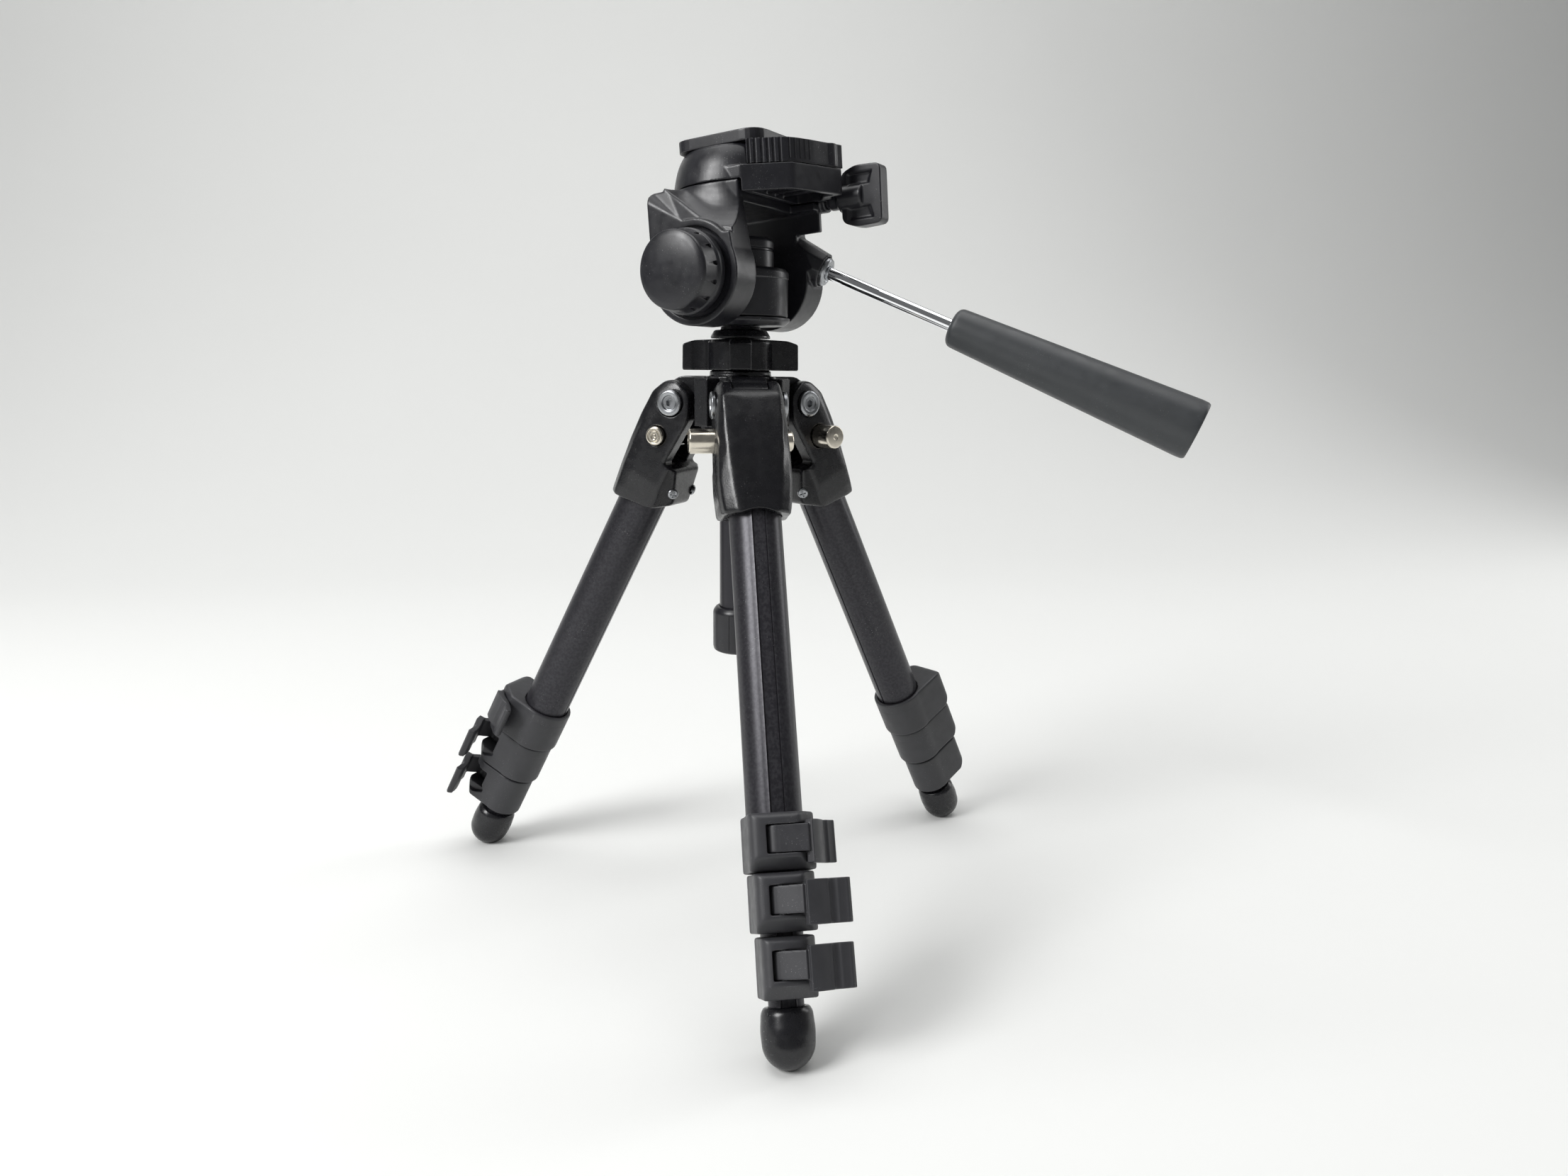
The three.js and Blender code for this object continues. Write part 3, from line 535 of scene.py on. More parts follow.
def shoulder_shape():
    """Forked casting: a crowned front panel between two ridges, and flanks that fall away from it."""
    # height, front of the ridge, half width at the ridge, half width of the flank
    levels = (
        (12, 4, 12.2, 14.6), (7, 8.6, 12.7, 15.2), (0, 11.9, 13, 15.7), (-12, 12.6, 12.8, 16.2),
        (-25, 12.6, 12, 16.6), (-38, 12.1, 10.9, 16.8), (-48, 11.6, 9.8, 16.0), (-57, 11.1, 8.8, 14.6),
    )
    rings = []
    for z, front, ridge, half in levels:
        right = [(-30, half), (front - 8.5, half), (front - 4, half - 0.9), (front, ridge),
                 (front + 0.5, ridge * 0.75), (front + 0.8, ridge * 0.35)]
        left = [(x, -y) for x, y in right[::-1]]
        rings.append([(x, y, z) for x, y in right + left])
    side = slab([
        (3.4, 10.6, 3), (9, 7, 3), (12.6, 0, 3), (14, -12), (14, -38), (13, -57), (11.4, -55, 1.5),
        (-13, -50.5, 2), (-21, -44.7, 2), (-16.5, -27.6, 1), (-10.4, -27.2, 1), (-12, -3, 3),
        (-6.8, 8, 4),
    ], -17, 17, "y")
    flank = slab([
        (-13.2, -17), (-21.5, -8.2), (-21.5, 8.2), (-13.2, 17), (20, 17), (20, -17),
    ], -60, -27.4)
    outer = common(loft(rings), side, join(flank, block((-30, -17, -27.6), (20, 17, 20))))
    body = moulded(outer, voxel=0.5, passes=34, keep=1)
    arch = slab([(-9.5, -60), (9.5, -60), (9.5, -55.6, 4), (0, -52.6, 9), (-9.5, -55.6, 4)], 4, 20, "x")
    body = cut(
        body,
        rod(TUBE_RADII[0] + GAP, -62, -28.6, TUBE_X, 0),
        block((-40, -HALF_GAP, -27), (11, HALF_GAP, 30)),
        block((-40, -HALF_GAP, 3.5), (40, HALF_GAP, 30)),
        rod(3.3, -20, 20, axis="y"),
        rod(6.5, -20, -15.0, axis="y"),
        rod(6.5, 15.0, 20, axis="y"),
        rod(5.8, -20, -HALF_GAP + 1, PIN_X, PIN_Z, "y"),
        rod(4.8, HALF_GAP - 1, 20, PIN_X, PIN_Z, "y"),
        arch,
    )
    return moulded(body, voxel=0.34, passes=4, keep=0.3)


def tube_outline(index):
    """Round tube with a flat channel between two small lips, and a fine groove at the back."""
    radius = TUBE_RADII[index]
    half = CHANNEL_HALF
    lip = radians(4)
    first = asin(half / radius)
    floor = radius - TUBE_WALL
    edge = [(floor, 0), (floor, half - 0.5), (floor - 0.25, half - 0.45), (floor - 0.25, half - 0.1),
            (radius * cos(first) - 0.1, half - 0.05), (radius * cos(first) + 0.12, half + 0.1)]
    back = radians(180) - 0.5 / radius
    turns = [first + lip + (back - first - lip) * i / 40 for i in range(41)]
    edge += [(radius * cos(a), radius * sin(a)) for a in turns]
    edge += [(-radius + 0.45, 0.35)]
    return edge + [(x, -y) for x, y in edge[::-1] if y]


def tube_shape(index):
    outer = [(x + TUBE_X, y) for x, y in tube_outline(index)]
    bore = rod(TUBE_RADII[index] - TUBE_WALL - 0.2, -300, 0, TUBE_X, 0)
    keep = block((-20, -20, -300), (TUBE_X + TUBE_RADII[index] - 2 * TUBE_WALL - 0.2, 20, 0))
    return cut(slab(outer, -SECTION_ENDS[index], -SECTION_TOPS[index]), common(bore, keep))


def bolt_shape():
    """Socket-headed pivot bolt: a domed ring with a hexagon recess at both ends."""
    body = lathe([
        (0, -16.4), (3.2, -16.4, 0.2), (3.6, -17.2, 0.3), (5.2, -17.4, 0.4), (6.1, -16.8, 0.3),
        (6.1, -15.5), (3, -15.5), (3, 15.5), (6.1, 15.5), (6.1, 16.8, 0.3), (5.2, 17.4, 0.4),
        (3.6, 17.2, 0.3), (3.2, 16.4, 0.2), (0, 16.4),
    ])
    hexagon = rod(1.9, 14.6, 30, count=6)
    return turned(cut(body, hexagon, turned(hexagon, 180, "X")), -90, "X")


def pin_shape():
    """Push-through pin: a large nickel head at one end and a button with turned rings at the other."""
    body = lathe([
        (0, -27.5), (1.1, -27.5, 0.2), (1.4, -27.8, 0.2), (5, -27.6, 0.5), (5.5, -27.1, 0.4),
        (5.5, -14.6, 0.3), (1.6, -14.6), (1.6, -8.4), (3, -8.4), (3, 0.2), (1.6, 0.2), (1.6, 9.5),
        (4.5, 9.5), (4.5, 18.4, 0.4), (3.9, 19, 0.3), (3.3, 19, 0.2), (3.2, 18.6), (2.6, 18.6),
        (2.4, 18.9, 0.1), (1.6, 18.9, 0.1), (1.5, 18.5), (0.9, 18.5), (0.6, 18.8, 0.2), (0, 18.8),
    ])
    return moved(turned(body, -90, "X"), Matrix.Translation((PIN_X, 0, PIN_Z)))


def spring_shape():
    """Coil spring round the lock pin's neck, between the cheeks."""
    turns, count, radius, wire = 4, 28, 2.9, 0.42
    start, length = 0.8, 6.6
    path = []
    for i in range(turns * count + 1):
        a = 2 * pi * i / count
        path.append(Vector((radius * cos(a), start + length * i / (turns * count), radius * sin(a))))
    rings = []
    for i, at in enumerate(path):
        a = 2 * pi * i / count
        out = Vector((cos(a), 0, sin(a)))
        rings.append([at + wire * (cos(b) * out + sin(b) * Vector((0, 1, 0)))
                      for b in (2 * pi * k / 8 for k in range(8))])
    return moved(loft(rings), Matrix.Translation((PIN_X, 0, PIN_Z)))


def clamp_screw_shape():
    """Cross-headed screw for the shoulder's tube clamp, drawn along +Z."""
    head = lathe([(0, -6), (1.4, -6), (1.4, 0), (2.5, 0), (2.7, 0.5, 0.3), (2.2, 1.2, 0.4), (0, 1.5)], 48)
    cross = [block((-1.6, -0.35, 0.7), (1.6, 0.35, 3)), block((-0.35, -1.6, 0.7), (0.35, 1.6, 3))]
    return cut(head, *cross)


def collar_shape(index):
    """Clamp collar: a ring round the tube with a boss outward, slotted for its flip lever."""
    top, end, half, face, ring = COLLARS[index]
    boss = slab([
        (TUBE_X - 2, -half), (face, -half, 5), (face, 6, 2), (face - 9.5 * (half - 6) / 7.5, half, 2),
        (TUBE_X - 2, half),
    ], -end, -top)
    side = slab([
        (TUBE_X - 3, -top), (face - 1.5, -top, 3), (face + 1, -top - 3.4), (face + 1, -end + 6),
        (face - 5, -end), (TUBE_X - 3, -end),
    ], -20, 20, "y")
    recess = slab([
        (face + 3, -top - 2.5), (face - 4.5, -top - 4.5), (face - 13, -end + 6.2, 2),
        (face - 6, -end + 2.5, 2), (face + 3, -end + 5),
    ], half - 2.3, half + 4, "y")
    floor = TUBE_X + TUBE_RADII[index] + GAP + 1.3
    slot_top = -top - SLOT_TOP
    ledge = SECTION_ENDS[index] + 0.4
    parting = lathe([
        (ring + 3, -top - 5.6), (ring - 0.25, -top - 5.45), (ring - 0.25, -top - 5.15),
        (ring + 3, -top - 5), (ring + 3, -top - 5.6),
    ])
    seam = cut(
        moved(parting, Matrix.Translation((TUBE_X, 0, 0))),
        block((TUBE_X, -40, -400), (60, 40, 0)),
    )
    outer = join(rod(ring, -end, -top, TUBE_X, 0, count=72), common(boss, side))
    body = cut(
        moulded(outer, voxel=0.4, passes=22, keep=1),
        recess,
        block((floor, -7, slot_top - SLOT_HEIGHT), (face + 5, half + 5, slot_top)),
        rod(TUBE_RADII[index] + GAP, -ledge, -top + 5, TUBE_X, 0, count=72),
        rod(TUBE_RADII[index + 1] + GAP, -end - 5, -ledge + 1, TUBE_X, 0, count=72),
        seam,
    )
    return moulded(body, voxel=0.3, passes=5, keep=0.35)


def lever_pin_shape(index):
    top, face = COLLARS[index][0], COLLARS[index][3]
    low, high = -SLOT_TOP - SLOT_HEIGHT - 1, -SLOT_TOP + 1
    pin = lathe([(0, low), (1.1, low), (1.1, high), (0, high)], 32)
    return moved(pin, Matrix.Translation((face - LEVER_BACK, LEVER_Y, -top)))


def lever_shape():
    """Flip lever drawn closed: cam on the pivot, a band through the slot and a wide S-curved tab."""
    low, high = -SLOT_TOP - SLOT_HEIGHT + GAP, -SLOT_TOP - GAP
    band = slab(strip([(2.6, 0.5), (2.9, 6), (3.1, 9.5), (3.4, 12.2)], 3.2), low, high)
    tab_path = [(3.4, 12.2), (0.4, 15.2), (-3.6, 17.6), (-7.6, 20.6), (-10.2, 23.8)]
    tab = slab(strip(tab_path, (3.6, 3.0)), TAB_BOTTOM, TAB_TOP)
    lip_edge = [(-11.5, 22.2, 0.8), (-9.2, 21.4, 0.8), (-8.2, 24.4, 0.8), (-10.8, 25.2, 0.8)]
    lip = slab(lip_edge, TAB_BOTTOM, TAB_TOP)
    valley = rod(2.6, -22, 1, -3.6, 21.6)
    body = cut(join(rod(4.1, low, high), band, cut(tab, valley), lip), rod(1.4, -30, 0))
    return moulded(body, voxel=0.25, passes=14, keep=0.4)


def foot_shape(where):
    """Rubber foot worn flat where it stands on the floor."""
    turns = [pi / 2 * i / 14 for i in range(15)]
    dome = [(FOOT_RADIUS * sin(a), -FOOT_CENTRE - FOOT_RADIUS * cos(a)) for a in turns]
    body = lathe([
        *dome, (10.7, -261.6, 3), (10.1, -FOOT_TOP - 2, 1.5), (8.8, -FOOT_TOP, 1.2),
        (7.3, -FOOT_TOP - 0.2), (7.3, -FOOT_TOP - 6), (0, -FOOT_TOP - 6),
    ], 96)
    body = moved(body, Matrix.Translation((TUBE_X, 0, 0)))
    floor = block((-300, -300, -60), (300, 300, 0))
    lift = where.inverted() @ Matrix.Scale(MM, 4)
    return cut(body, moved(floor, Matrix.Scale(1 / MM, 4) @ lift))


def make_legs():
    shoulder = shoulder_shape()
    bolt, pin, spring, screw = bolt_shape(), pin_shape(), spring_shape(), clamp_screw_shape()
    tubes = [tube_shape(i) for i in range(4)]
    collars = [collar_shape(i) for i in range(3)]
    lever = lever_shape()
    for side in SIDES:
        where = leg_frame(side)
        leg = f"{side}_leg"
        sections = [leg, *(f"{side}_section_{k}" for k in (2, 3, 4))]
        place(f"{side}_shoulder_casting", shoulder, where, leg, "gloss_casting", [f"{side}_leg_shoulder"])
        place(f"{side}_bolt", bolt, where, leg, "zinc", [f"{side}_pivot_bolt"], sharp=35)
        place(f"{side}_push_pin", pin, where, f"{side}_lock_pin", "nickel",
              [f"{side}_lock_pin"], sharp=35)
        place(f"{side}_pin_spring", spring, where, leg, "zinc", sharp=60)
        for k, sign in enumerate((-1, 1)):
            seat = Matrix.Translation(Vector((-18.9, sign * 10.6, -39)) * MM)
            out = Vector((-0.72, sign * 0.69, 0)).to_track_quat("Z", "Y").to_matrix().to_4x4()
            place(f"{side}_clamp_screw_{k + 1}", screw, where @ seat @ out, leg, "zinc", sharp=35)
        for i, tube in enumerate(tubes):
            place(f"{side}_tube_{i + 1}", tube, where, sections[i], "anodised_tube",
                  [f"{side}_leg_tube_{i + 1}"], sharp=30)
        for i, collar in enumerate(collars):
            place(f"{side}_clamp_collar_{i + 1}", collar, where, sections[i], "grey_plastic",
                  [f"{side}_collar_{i + 1}"])
            place(f"{side}_lever_pin_{i + 1}", lever_pin_shape(i), where, sections[i], "zinc", sharp=35)
            place(f"{side}_lever_{i + 1}", lever, lever_frame(side, i + 1), f"{side}_flip_lever_{i + 1}",
                  "grey_plastic", [f"{side}_flip_lever_{i + 1}"])
        place(f"{side}_rubber_foot", foot_shape(where), where, sections[3], "foot_rubber",
              [f"{side}_foot"], sharp=40)


# ---------------------------------------------------------------- crown and centre column
PIVOT_RADIUS = 29.2
PIVOT_HEIGHT = place_of("front_leg_fold").z / MM
COLUMN_RADIUS = 9.75
COLUMN_BOTTOM, COLUMN_TOP = 128, 275
CROWN_BOTTOM, CROWN_TOP = 233, 258
NECK_OUTER, NECK_TOP = 13.4, 268
COLLET_OUTER = 11.6
KNOB_BOTTOM, KNOB_TOP = 260.7, 274.8
KNOB_TURN = -7.3
LUG_HALF, LUG_NOSE = 8, 10.2
LEG_AZIMUTHS = (-90, 150, 30)
LEG_SPREAD = 27.8


def crown_shape():
    """Casting with a neck and three lugs, each with a barrel nose and a stop tooth."""
    root = slab([
        (8, CROWN_BOTTOM), (PIVOT_RADIUS - 12.7, CROWN_BOTTOM, 1), (PIVOT_RADIUS - 8, PIVOT_HEIGHT - 7),
        (PIVOT_RADIUS, PIVOT_HEIGHT), (PIVOT_RADIUS + 6, PIVOT_HEIGHT + 7),
        (PIVOT_RADIUS - 0.5, CROWN_TOP, 4), (8, CROWN_TOP),
    ], -LUG_HALF, LUG_HALF, "y")
    nose = rod(LUG_NOSE, -LUG_HALF, LUG_HALF, PIVOT_RADIUS, PIVOT_HEIGHT, "y", 64)
    c, s = cos(radians(LEG_SPREAD)), sin(radians(LEG_SPREAD))
    tooth = slab([
        (PIVOT_RADIUS + x * c - z * s, PIVOT_HEIGHT + x * s + z * c)
        for x, z in ((1.5, -5), (1.5, -14.6), (4.3, -14.3), (6.4, -5))
    ], -LUG_HALF + 0.3, -3.7, "y")
    lines = [block((10, y, PIVOT_HEIGHT), (60, y + 0.5, 262)) for y in (5.4, 6.9)]
    skin = cut(rod(LUG_NOSE + 3, -9, 9, PIVOT_RADIUS, PIVOT_HEIGHT, "y"),
               rod(LUG_NOSE - 0.3, -9, 9, PIVOT_RADIUS, PIVOT_HEIGHT, "y"))
    grooves = [common(line, skin) for line in lines]
    lug = cut(join(root, nose, tooth), rod(3.3, -20, 20, PIVOT_RADIUS, PIVOT_HEIGHT, "y"), *grooves)
    web = block((8, -5, CROWN_BOTTOM + 2), (23, 5, CROWN_TOP - 1))
    body = join(
        rod(16.5, CROWN_BOTTOM, CROWN_TOP, count=96), rod(14.4, CROWN_TOP - 1, 260.3, count=96),
        rod(NECK_OUTER, 259, NECK_TOP, count=96),
        *[turned(lug, a) for a in LEG_AZIMUTHS], *[turned(web, a + 60) for a in LEG_AZIMUTHS],
    )
    body = cut(body, rod(COLUMN_RADIUS + GAP, 220, 300), rod(COLLET_OUTER + GAP, 249.7, 300))
    return moulded(body, voxel=0.36, passes=6, keep=0.35)


def column_knob_shape():
    """Star knob: a hub with four blunt wings whose tops fall away towards their ends."""
    wing = slab([
        (11, KNOB_BOTTOM), (27, KNOB_BOTTOM, 0.8), (26.8, 272.6, 0.8), (22, 274.3, 4), (18, 274.5, 2),
        (11, KNOB_TOP),
    ], -4.8, 4.8, "y")
    waist = [rod(9, 250, 280, 19.5, sign * 13.2) for sign in (-1, 1)]
    body = join(lathe([(0, KNOB_BOTTOM), (15.6, KNOB_BOTTOM), (15.4, KNOB_TOP - 1.4), (14, KNOB_TOP, 0.6),
                       (0, KNOB_TOP)], 96), *[turned(cut(wing, *waist), 90 * i) for i in range(4)])
    body = cut(body, rod(NECK_OUTER + GAP, 250, 268.4), rod(COLLET_OUTER + GAP, 260, 272),
               rod(COLUMN_RADIUS + GAP, 260, 280))
    return turned(moulded(body, voxel=0.3, passes=4, keep=0.4), KNOB_TURN)


def make_middle():
    here = column_frame
    place("crown_casting", crown_shape(), here, "crown", "gloss_casting", ["crown"])
    collet = lathe([(COLUMN_RADIUS + GAP, 250), (COLLET_OUTER, 250), (COLLET_OUTER, 271.5),
                    (COLUMN_RADIUS + GAP, 271.5), (COLUMN_RADIUS + GAP, 250)])
    slits = [turned(block((0, -0.6, 252), (20, 0.6, 280)), a) for a in (0, 90, 180, 270)]
    place("split_collet", cut(collet, *slits), here, "crown",
          "black_plastic", ["column_collet"], sharp=35)
    place("star_knob", column_knob_shape(), here, "column_lock_knob",
          "gloss_casting", ["column_lock_knob"])
    column = lathe([
        (COLUMN_RADIUS - 1, COLUMN_BOTTOM), (COLUMN_RADIUS, COLUMN_BOTTOM, 0.2),
        (COLUMN_RADIUS, COLUMN_TOP, 0.2), (COLUMN_RADIUS - 1, COLUMN_TOP),
        (COLUMN_RADIUS - 1, COLUMN_BOTTOM),
    ], 96)
    place("column_tube", column, here, "centre_column", "anodised_tube", ["centre_column"], sharp=35)
    cap = lathe([
        (0, 125.3), (10.6, 125.3, 0.4), (12.6, 126.2, 0.8), (13, 128, 0.5), (13, 145.6, 1.2),
        (11.4, 147.7, 1), (COLUMN_RADIUS + GAP, 147.7), (COLUMN_RADIUS + GAP, 127.7), (0, 127.7),
    ], 96)
    ridges = [turned(block((12.75, -0.25, 127.6), (14, 0.25, 145)), a) for a in range(0, 360, 60)]
    place("end_cap", cut(cap, *ridges), here, "centre_column", "black_plastic",
          ["column_end_cap"], sharp=35)
    flange = lathe([
        (0, 262), (8.4, 262), (8.4, 275.3), (13.9, 275.3, 0.3), (13.9, 276.2, 0.4), (12.2, 279, 0.6),
        (9.4, 279.2, 0.3), (9, 280.7), (4.7, 280.7), (4.7, 288), (0, 288),
    ], 96)
    place("top_flange", flange, here, "centre_column", "gloss_casting", ["column_flange"], sharp=35)


# ---------------------------------------------------------------- head
AXLE_HEIGHT = place_of("tilt").z / MM
AXLE = (tilt_frame.inverted() @ place_of("tilt")) / MM
YOKE_INNER, YOKE_OUTER = 23.4, 40
CHEEK_RADIUS = 22.5
SEAM = 33.3
SKIRT_RADIUS = 29.3
SADDLE_BACK, SADDLE_LENGTH, SADDLE_STEPS = 15, 39, 20
HINGE_X, HINGE_Z, HINGE_RADIUS = 28, 28.5, 4.8
BUSH_START, BOSS_END = 24, 29.5


def pan_base_shape():
    return lathe([
        (5, 281), (20.6, 281, 0.6), (23, 283, 0.5), (23, 284.5, 0.3), (9, 284.5), (9, 296.6),
        (0, 296.6), (0, 288.4), (5, 288.4), (5, 281),
    ], 96)


def pan_body_shape():
    """Drum with a rolled top edge and a grooved hub between the yoke's cheeks."""
    shell = lathe([
        (9.3, 284.8), (21.6, 284.8, 0.4), (22, 285.4, 0.3), (22, 301.8, 0.3), (22.3, 302.2, 0.3),
        (22.3, 304.9, 0.8), (20.6, 306.6, 0.8), (15.4, 306.8, 0.4), (15.2, 314.2, 0.3), (14.5, 314.5),
        (14.5, 315.2), (15.2, 315.5, 0.3), (15.2, 318.6, 0.8), (14.2, 320, 0.6), (0, 320), (0, 297),
        (9.3, 297), (9.3, 284.8),
    ], 96)
    return cut(shell, rod(4.3, -30, 30, 0, AXLE_HEIGHT, "x"))


def in_handle(mesh):
    """A mesh drawn along the handle, given in the yoke's frame."""
    where = tilt_frame.inverted() @ handle_frame
    where.translation = where.translation / MM
    return moved(mesh, where)


def saddle_bowl():
    """What is cut away above the left cheek: it hollows from the round seam out to the fin's ridge."""
    ridge = smooth_path([(-36.5, 15, 33.2), (-37.5, 6, 25.8), (-40.1, -8, 13.2), (-40.3, -17.4, 10.4),
                         (-40.3, -24, 10.2)], SADDLE_STEPS)
    rings = []
    for i, (low, _) in enumerate(ridge):
        y = SADDLE_BACK - SADDLE_LENGTH * i / SADDLE_STEPS
        top = Vector((-0.5 - (SKIRT_RADIUS ** 2 - (y + 1.5) ** 2) ** 0.5, y, SEAM + 0.2))
        bend = Vector((top.x - 0.6, (top.y + low.y) / 2, top.z * 0.3 + low.z * 0.7))
        curve = [(1 - t) ** 2 * top + 2 * t * (1 - t) * bend + t * t * low
                 for t in (k / 10 for k in range(11))]
        outside = [(-60, low.y, low.z), (-60, top.y, 50), (top.x, top.y, 50)]
        rings.append([tuple(p) for p in curve] + outside)
    return loft(rings)


def yoke_shape():
    """Two cheeks, a saddle with a fin, the beam under the platform, the hinge and the handle boss."""
    y, z = AXLE.y, AXLE.z
    cheeks = [rod(CHEEK_RADIUS, low, low + YOKE_OUTER - YOKE_INNER, y, z, "x", 96)
              for low in (-YOKE_OUTER, YOKE_INNER)]
    left_wall = slab([
        (-21.5, z), (22.5, z), (21.9, 8), (21.9, 31, 3), (15, 31.2), (14, SEAM), (-16.5, SEAM),
        (-19.6, 10),
    ], -YOKE_OUTER, -YOKE_INNER, "x")
    bowl = saddle_bowl()
    ridge = [(25, 28.7), (5, 17.6), (-4.9, 13.4), (-17, 10.3), (-30, 10.2), (-30, 45), (25, 45)]
    inner = [(25, 31.7), (12, 30.2), (-8, 12.9), (-17.4, 10.3), (-30, 10.2), (-30, 45), (25, 45)]
    chamfer = loft([[(x, a, b) for a, b in edge]
                    for x, edge in ((-44, ridge), (-40, ridge), (-37, inner))])
    beam = slab([
        (-29, -6, 6), (-27, -17.4), (33, -17.4), (33, 17), (22.6, 17), (19, 22, 4), (10, 27.6, 4),
        (-10, 27.6, 6), (-24, 17, 6),
    ], 24.2, SEAM)
    right_wall = slab([(20, 2), (33, 2), (33, HINGE_Z), (20, SEAM)], -17.4, 17, "y")
    barrel = rod(HINGE_RADIUS, -33, 17, HINGE_X, HINGE_Z, "y")
    bracket = block((19, -30, 15), (26.2, -16, 27.7))
    cone = in_handle(lathe([(0, -4), (12.5, 0), (8.4, BOSS_END), (0, BOSS_END)], 10))
    above_hinge = cut(
        block((20, -40, HINGE_Z), (60, 40, 60)),
        rod(HINGE_RADIUS, -50, 50, HINGE_X, HINGE_Z, "y"),
        block((0, -50, 0), (22.6, 50, 60)),
    )
    body = cut(
        join(cut(left_wall, bowl, chamfer), *cheeks, beam, right_wall, barrel, bracket, cone),
        block((-YOKE_INNER, -60, -60), (YOKE_INNER, 60, 24.2)),
        block((HINGE_X + HINGE_RADIUS + 0.5, -40, 19.6), (60, 40, 60)),
        above_hinge,
        in_handle(rod(7, BUSH_START - GAP, 60)),
        in_handle(rod(3.4, 12, 60)),
        rod(4.3, -60, 31, y, z, "x"),
        rod(3.3, -60, -10, HINGE_X, HINGE_Z, "y"),
        rod(2.8, 6, 60, HINGE_X, HINGE_Z, "y"),
        cut(rod(19.4, -YOKE_OUTER - 1, -YOKE_OUTER + 1.2, y, z, "x", 96), rod(6, -50, -30, y, z, "x")),
    )
    return moulded(body, voxel=0.36, passes=16, keep=0.35)


def tilt_knob_shape():
    """Knob with a gently domed face, teardrop marks round its skirt, and its clamping shaft."""
    body = turned(lathe([
        (0, -57.8), (5, -57.7, 4), (10, -57.3, 4), (14.4, -56.6, 2), (16.3, -55.8, 0.8),
        (16.7, -54.8, 0.5), (17.2, -47.8), (17.4, -46.6, 0.4), (18.2, -45.8, 0.4), (18.2, -42.2, 0.5),
        (17.4, -41.5), (4, -41.5), (4, 29.5), (0, 29.5),
    ], 128), 90, "Y")
    marks = []
    for i in range(14):
        mark = slab([
            (-51, -0.3, 0.3), (-46.6, -1.25, 1.1), (-46.6, 1.25, 1.1), (-51, 0.3, 0.3),
        ], 16.2, 22)
        marks.append(turned(mark, 360 / 14 * i + 8, "X"))
    return moved(bevelled(cut(body, *marks), 0.12, 2), Matrix.Translation((0, AXLE.y, AXLE.z)))


def grip_shape():
    """Tapered hollow grip with a long shallow panel down either side."""
    body = lathe([
        (3.3, 96.5), (7.2, 96.5, 1.2), (9.1, 98.2, 1.2), (9.3, 101, 1), (13.4, 212, 2), (13.2, 215, 1),
        (12.3, 216, 0.6), (11.4, 215.4, 0.5), (10.9, 212), (8.6, 152), (0, 150), (0, 104.4),
        (3.3, 104.4), (3.3, 96.5),
    ], 96)
    slope = (13.4 - 9.3) / (212 - 101)
    panel = slab([(104, -2.9, 2.8), (202, -4.6, 4.4), (202, 4.6, 4.4), (104, 2.9, 2.8)], 0, 6)
    tilt = Matrix.Rotation(-slope, 4, "Y")
    lay = Matrix(((0, 0, 1, 9.3 - 0.75 - slope * 101), (0, 1, 0, 0), (1, 0, 0, 0), (0, 0, 0, 1)))
    shear = Matrix.Identity(4)
    shear[0][2] = slope
    tools = []
    for turn in (GRIP_PANEL_TURN, 180 - GRIP_PANEL_TURN):
        tools.append(turned(moved(panel, shear @ lay), turn))
    return moulded(cut(body, *tools), voxel=0.4, passes=5, keep=0.4)


# Release lever in plan, from its thumb end round the tray's corner to its tail.
LEVER_PATH = ((-22.4, -19.8), (-18, -27), (-13.2, -33.8), (-4, -38), (6, -41), (17, -44.4))
LEVER_THICK = 5.2
LEVER_PIVOT = (11.5, -41.5)
LEVER_TOP = 49.6
TRAY_BOTTOM, TRAY_TOP, DECK, POCKET_FLOOR = 28, 39.2, 49.7, 43
PLATFORM_FLOOR = SEAM + GAP
PLATE_BOTTOM, PLATE_TOP = 50, 55
PLATE_CENTRE = (3, -3)
SCREW_RADIUS, SCREW_PITCH = 3.17, 1.27
ROD_RADIUS, ROD_END = 3, 104


def circle(radius, x, y, z, count=96):
    return [(x + radius * cos(2 * pi * i / count), y + radius * sin(2 * pi * i / count), z)
            for i in range(count)]


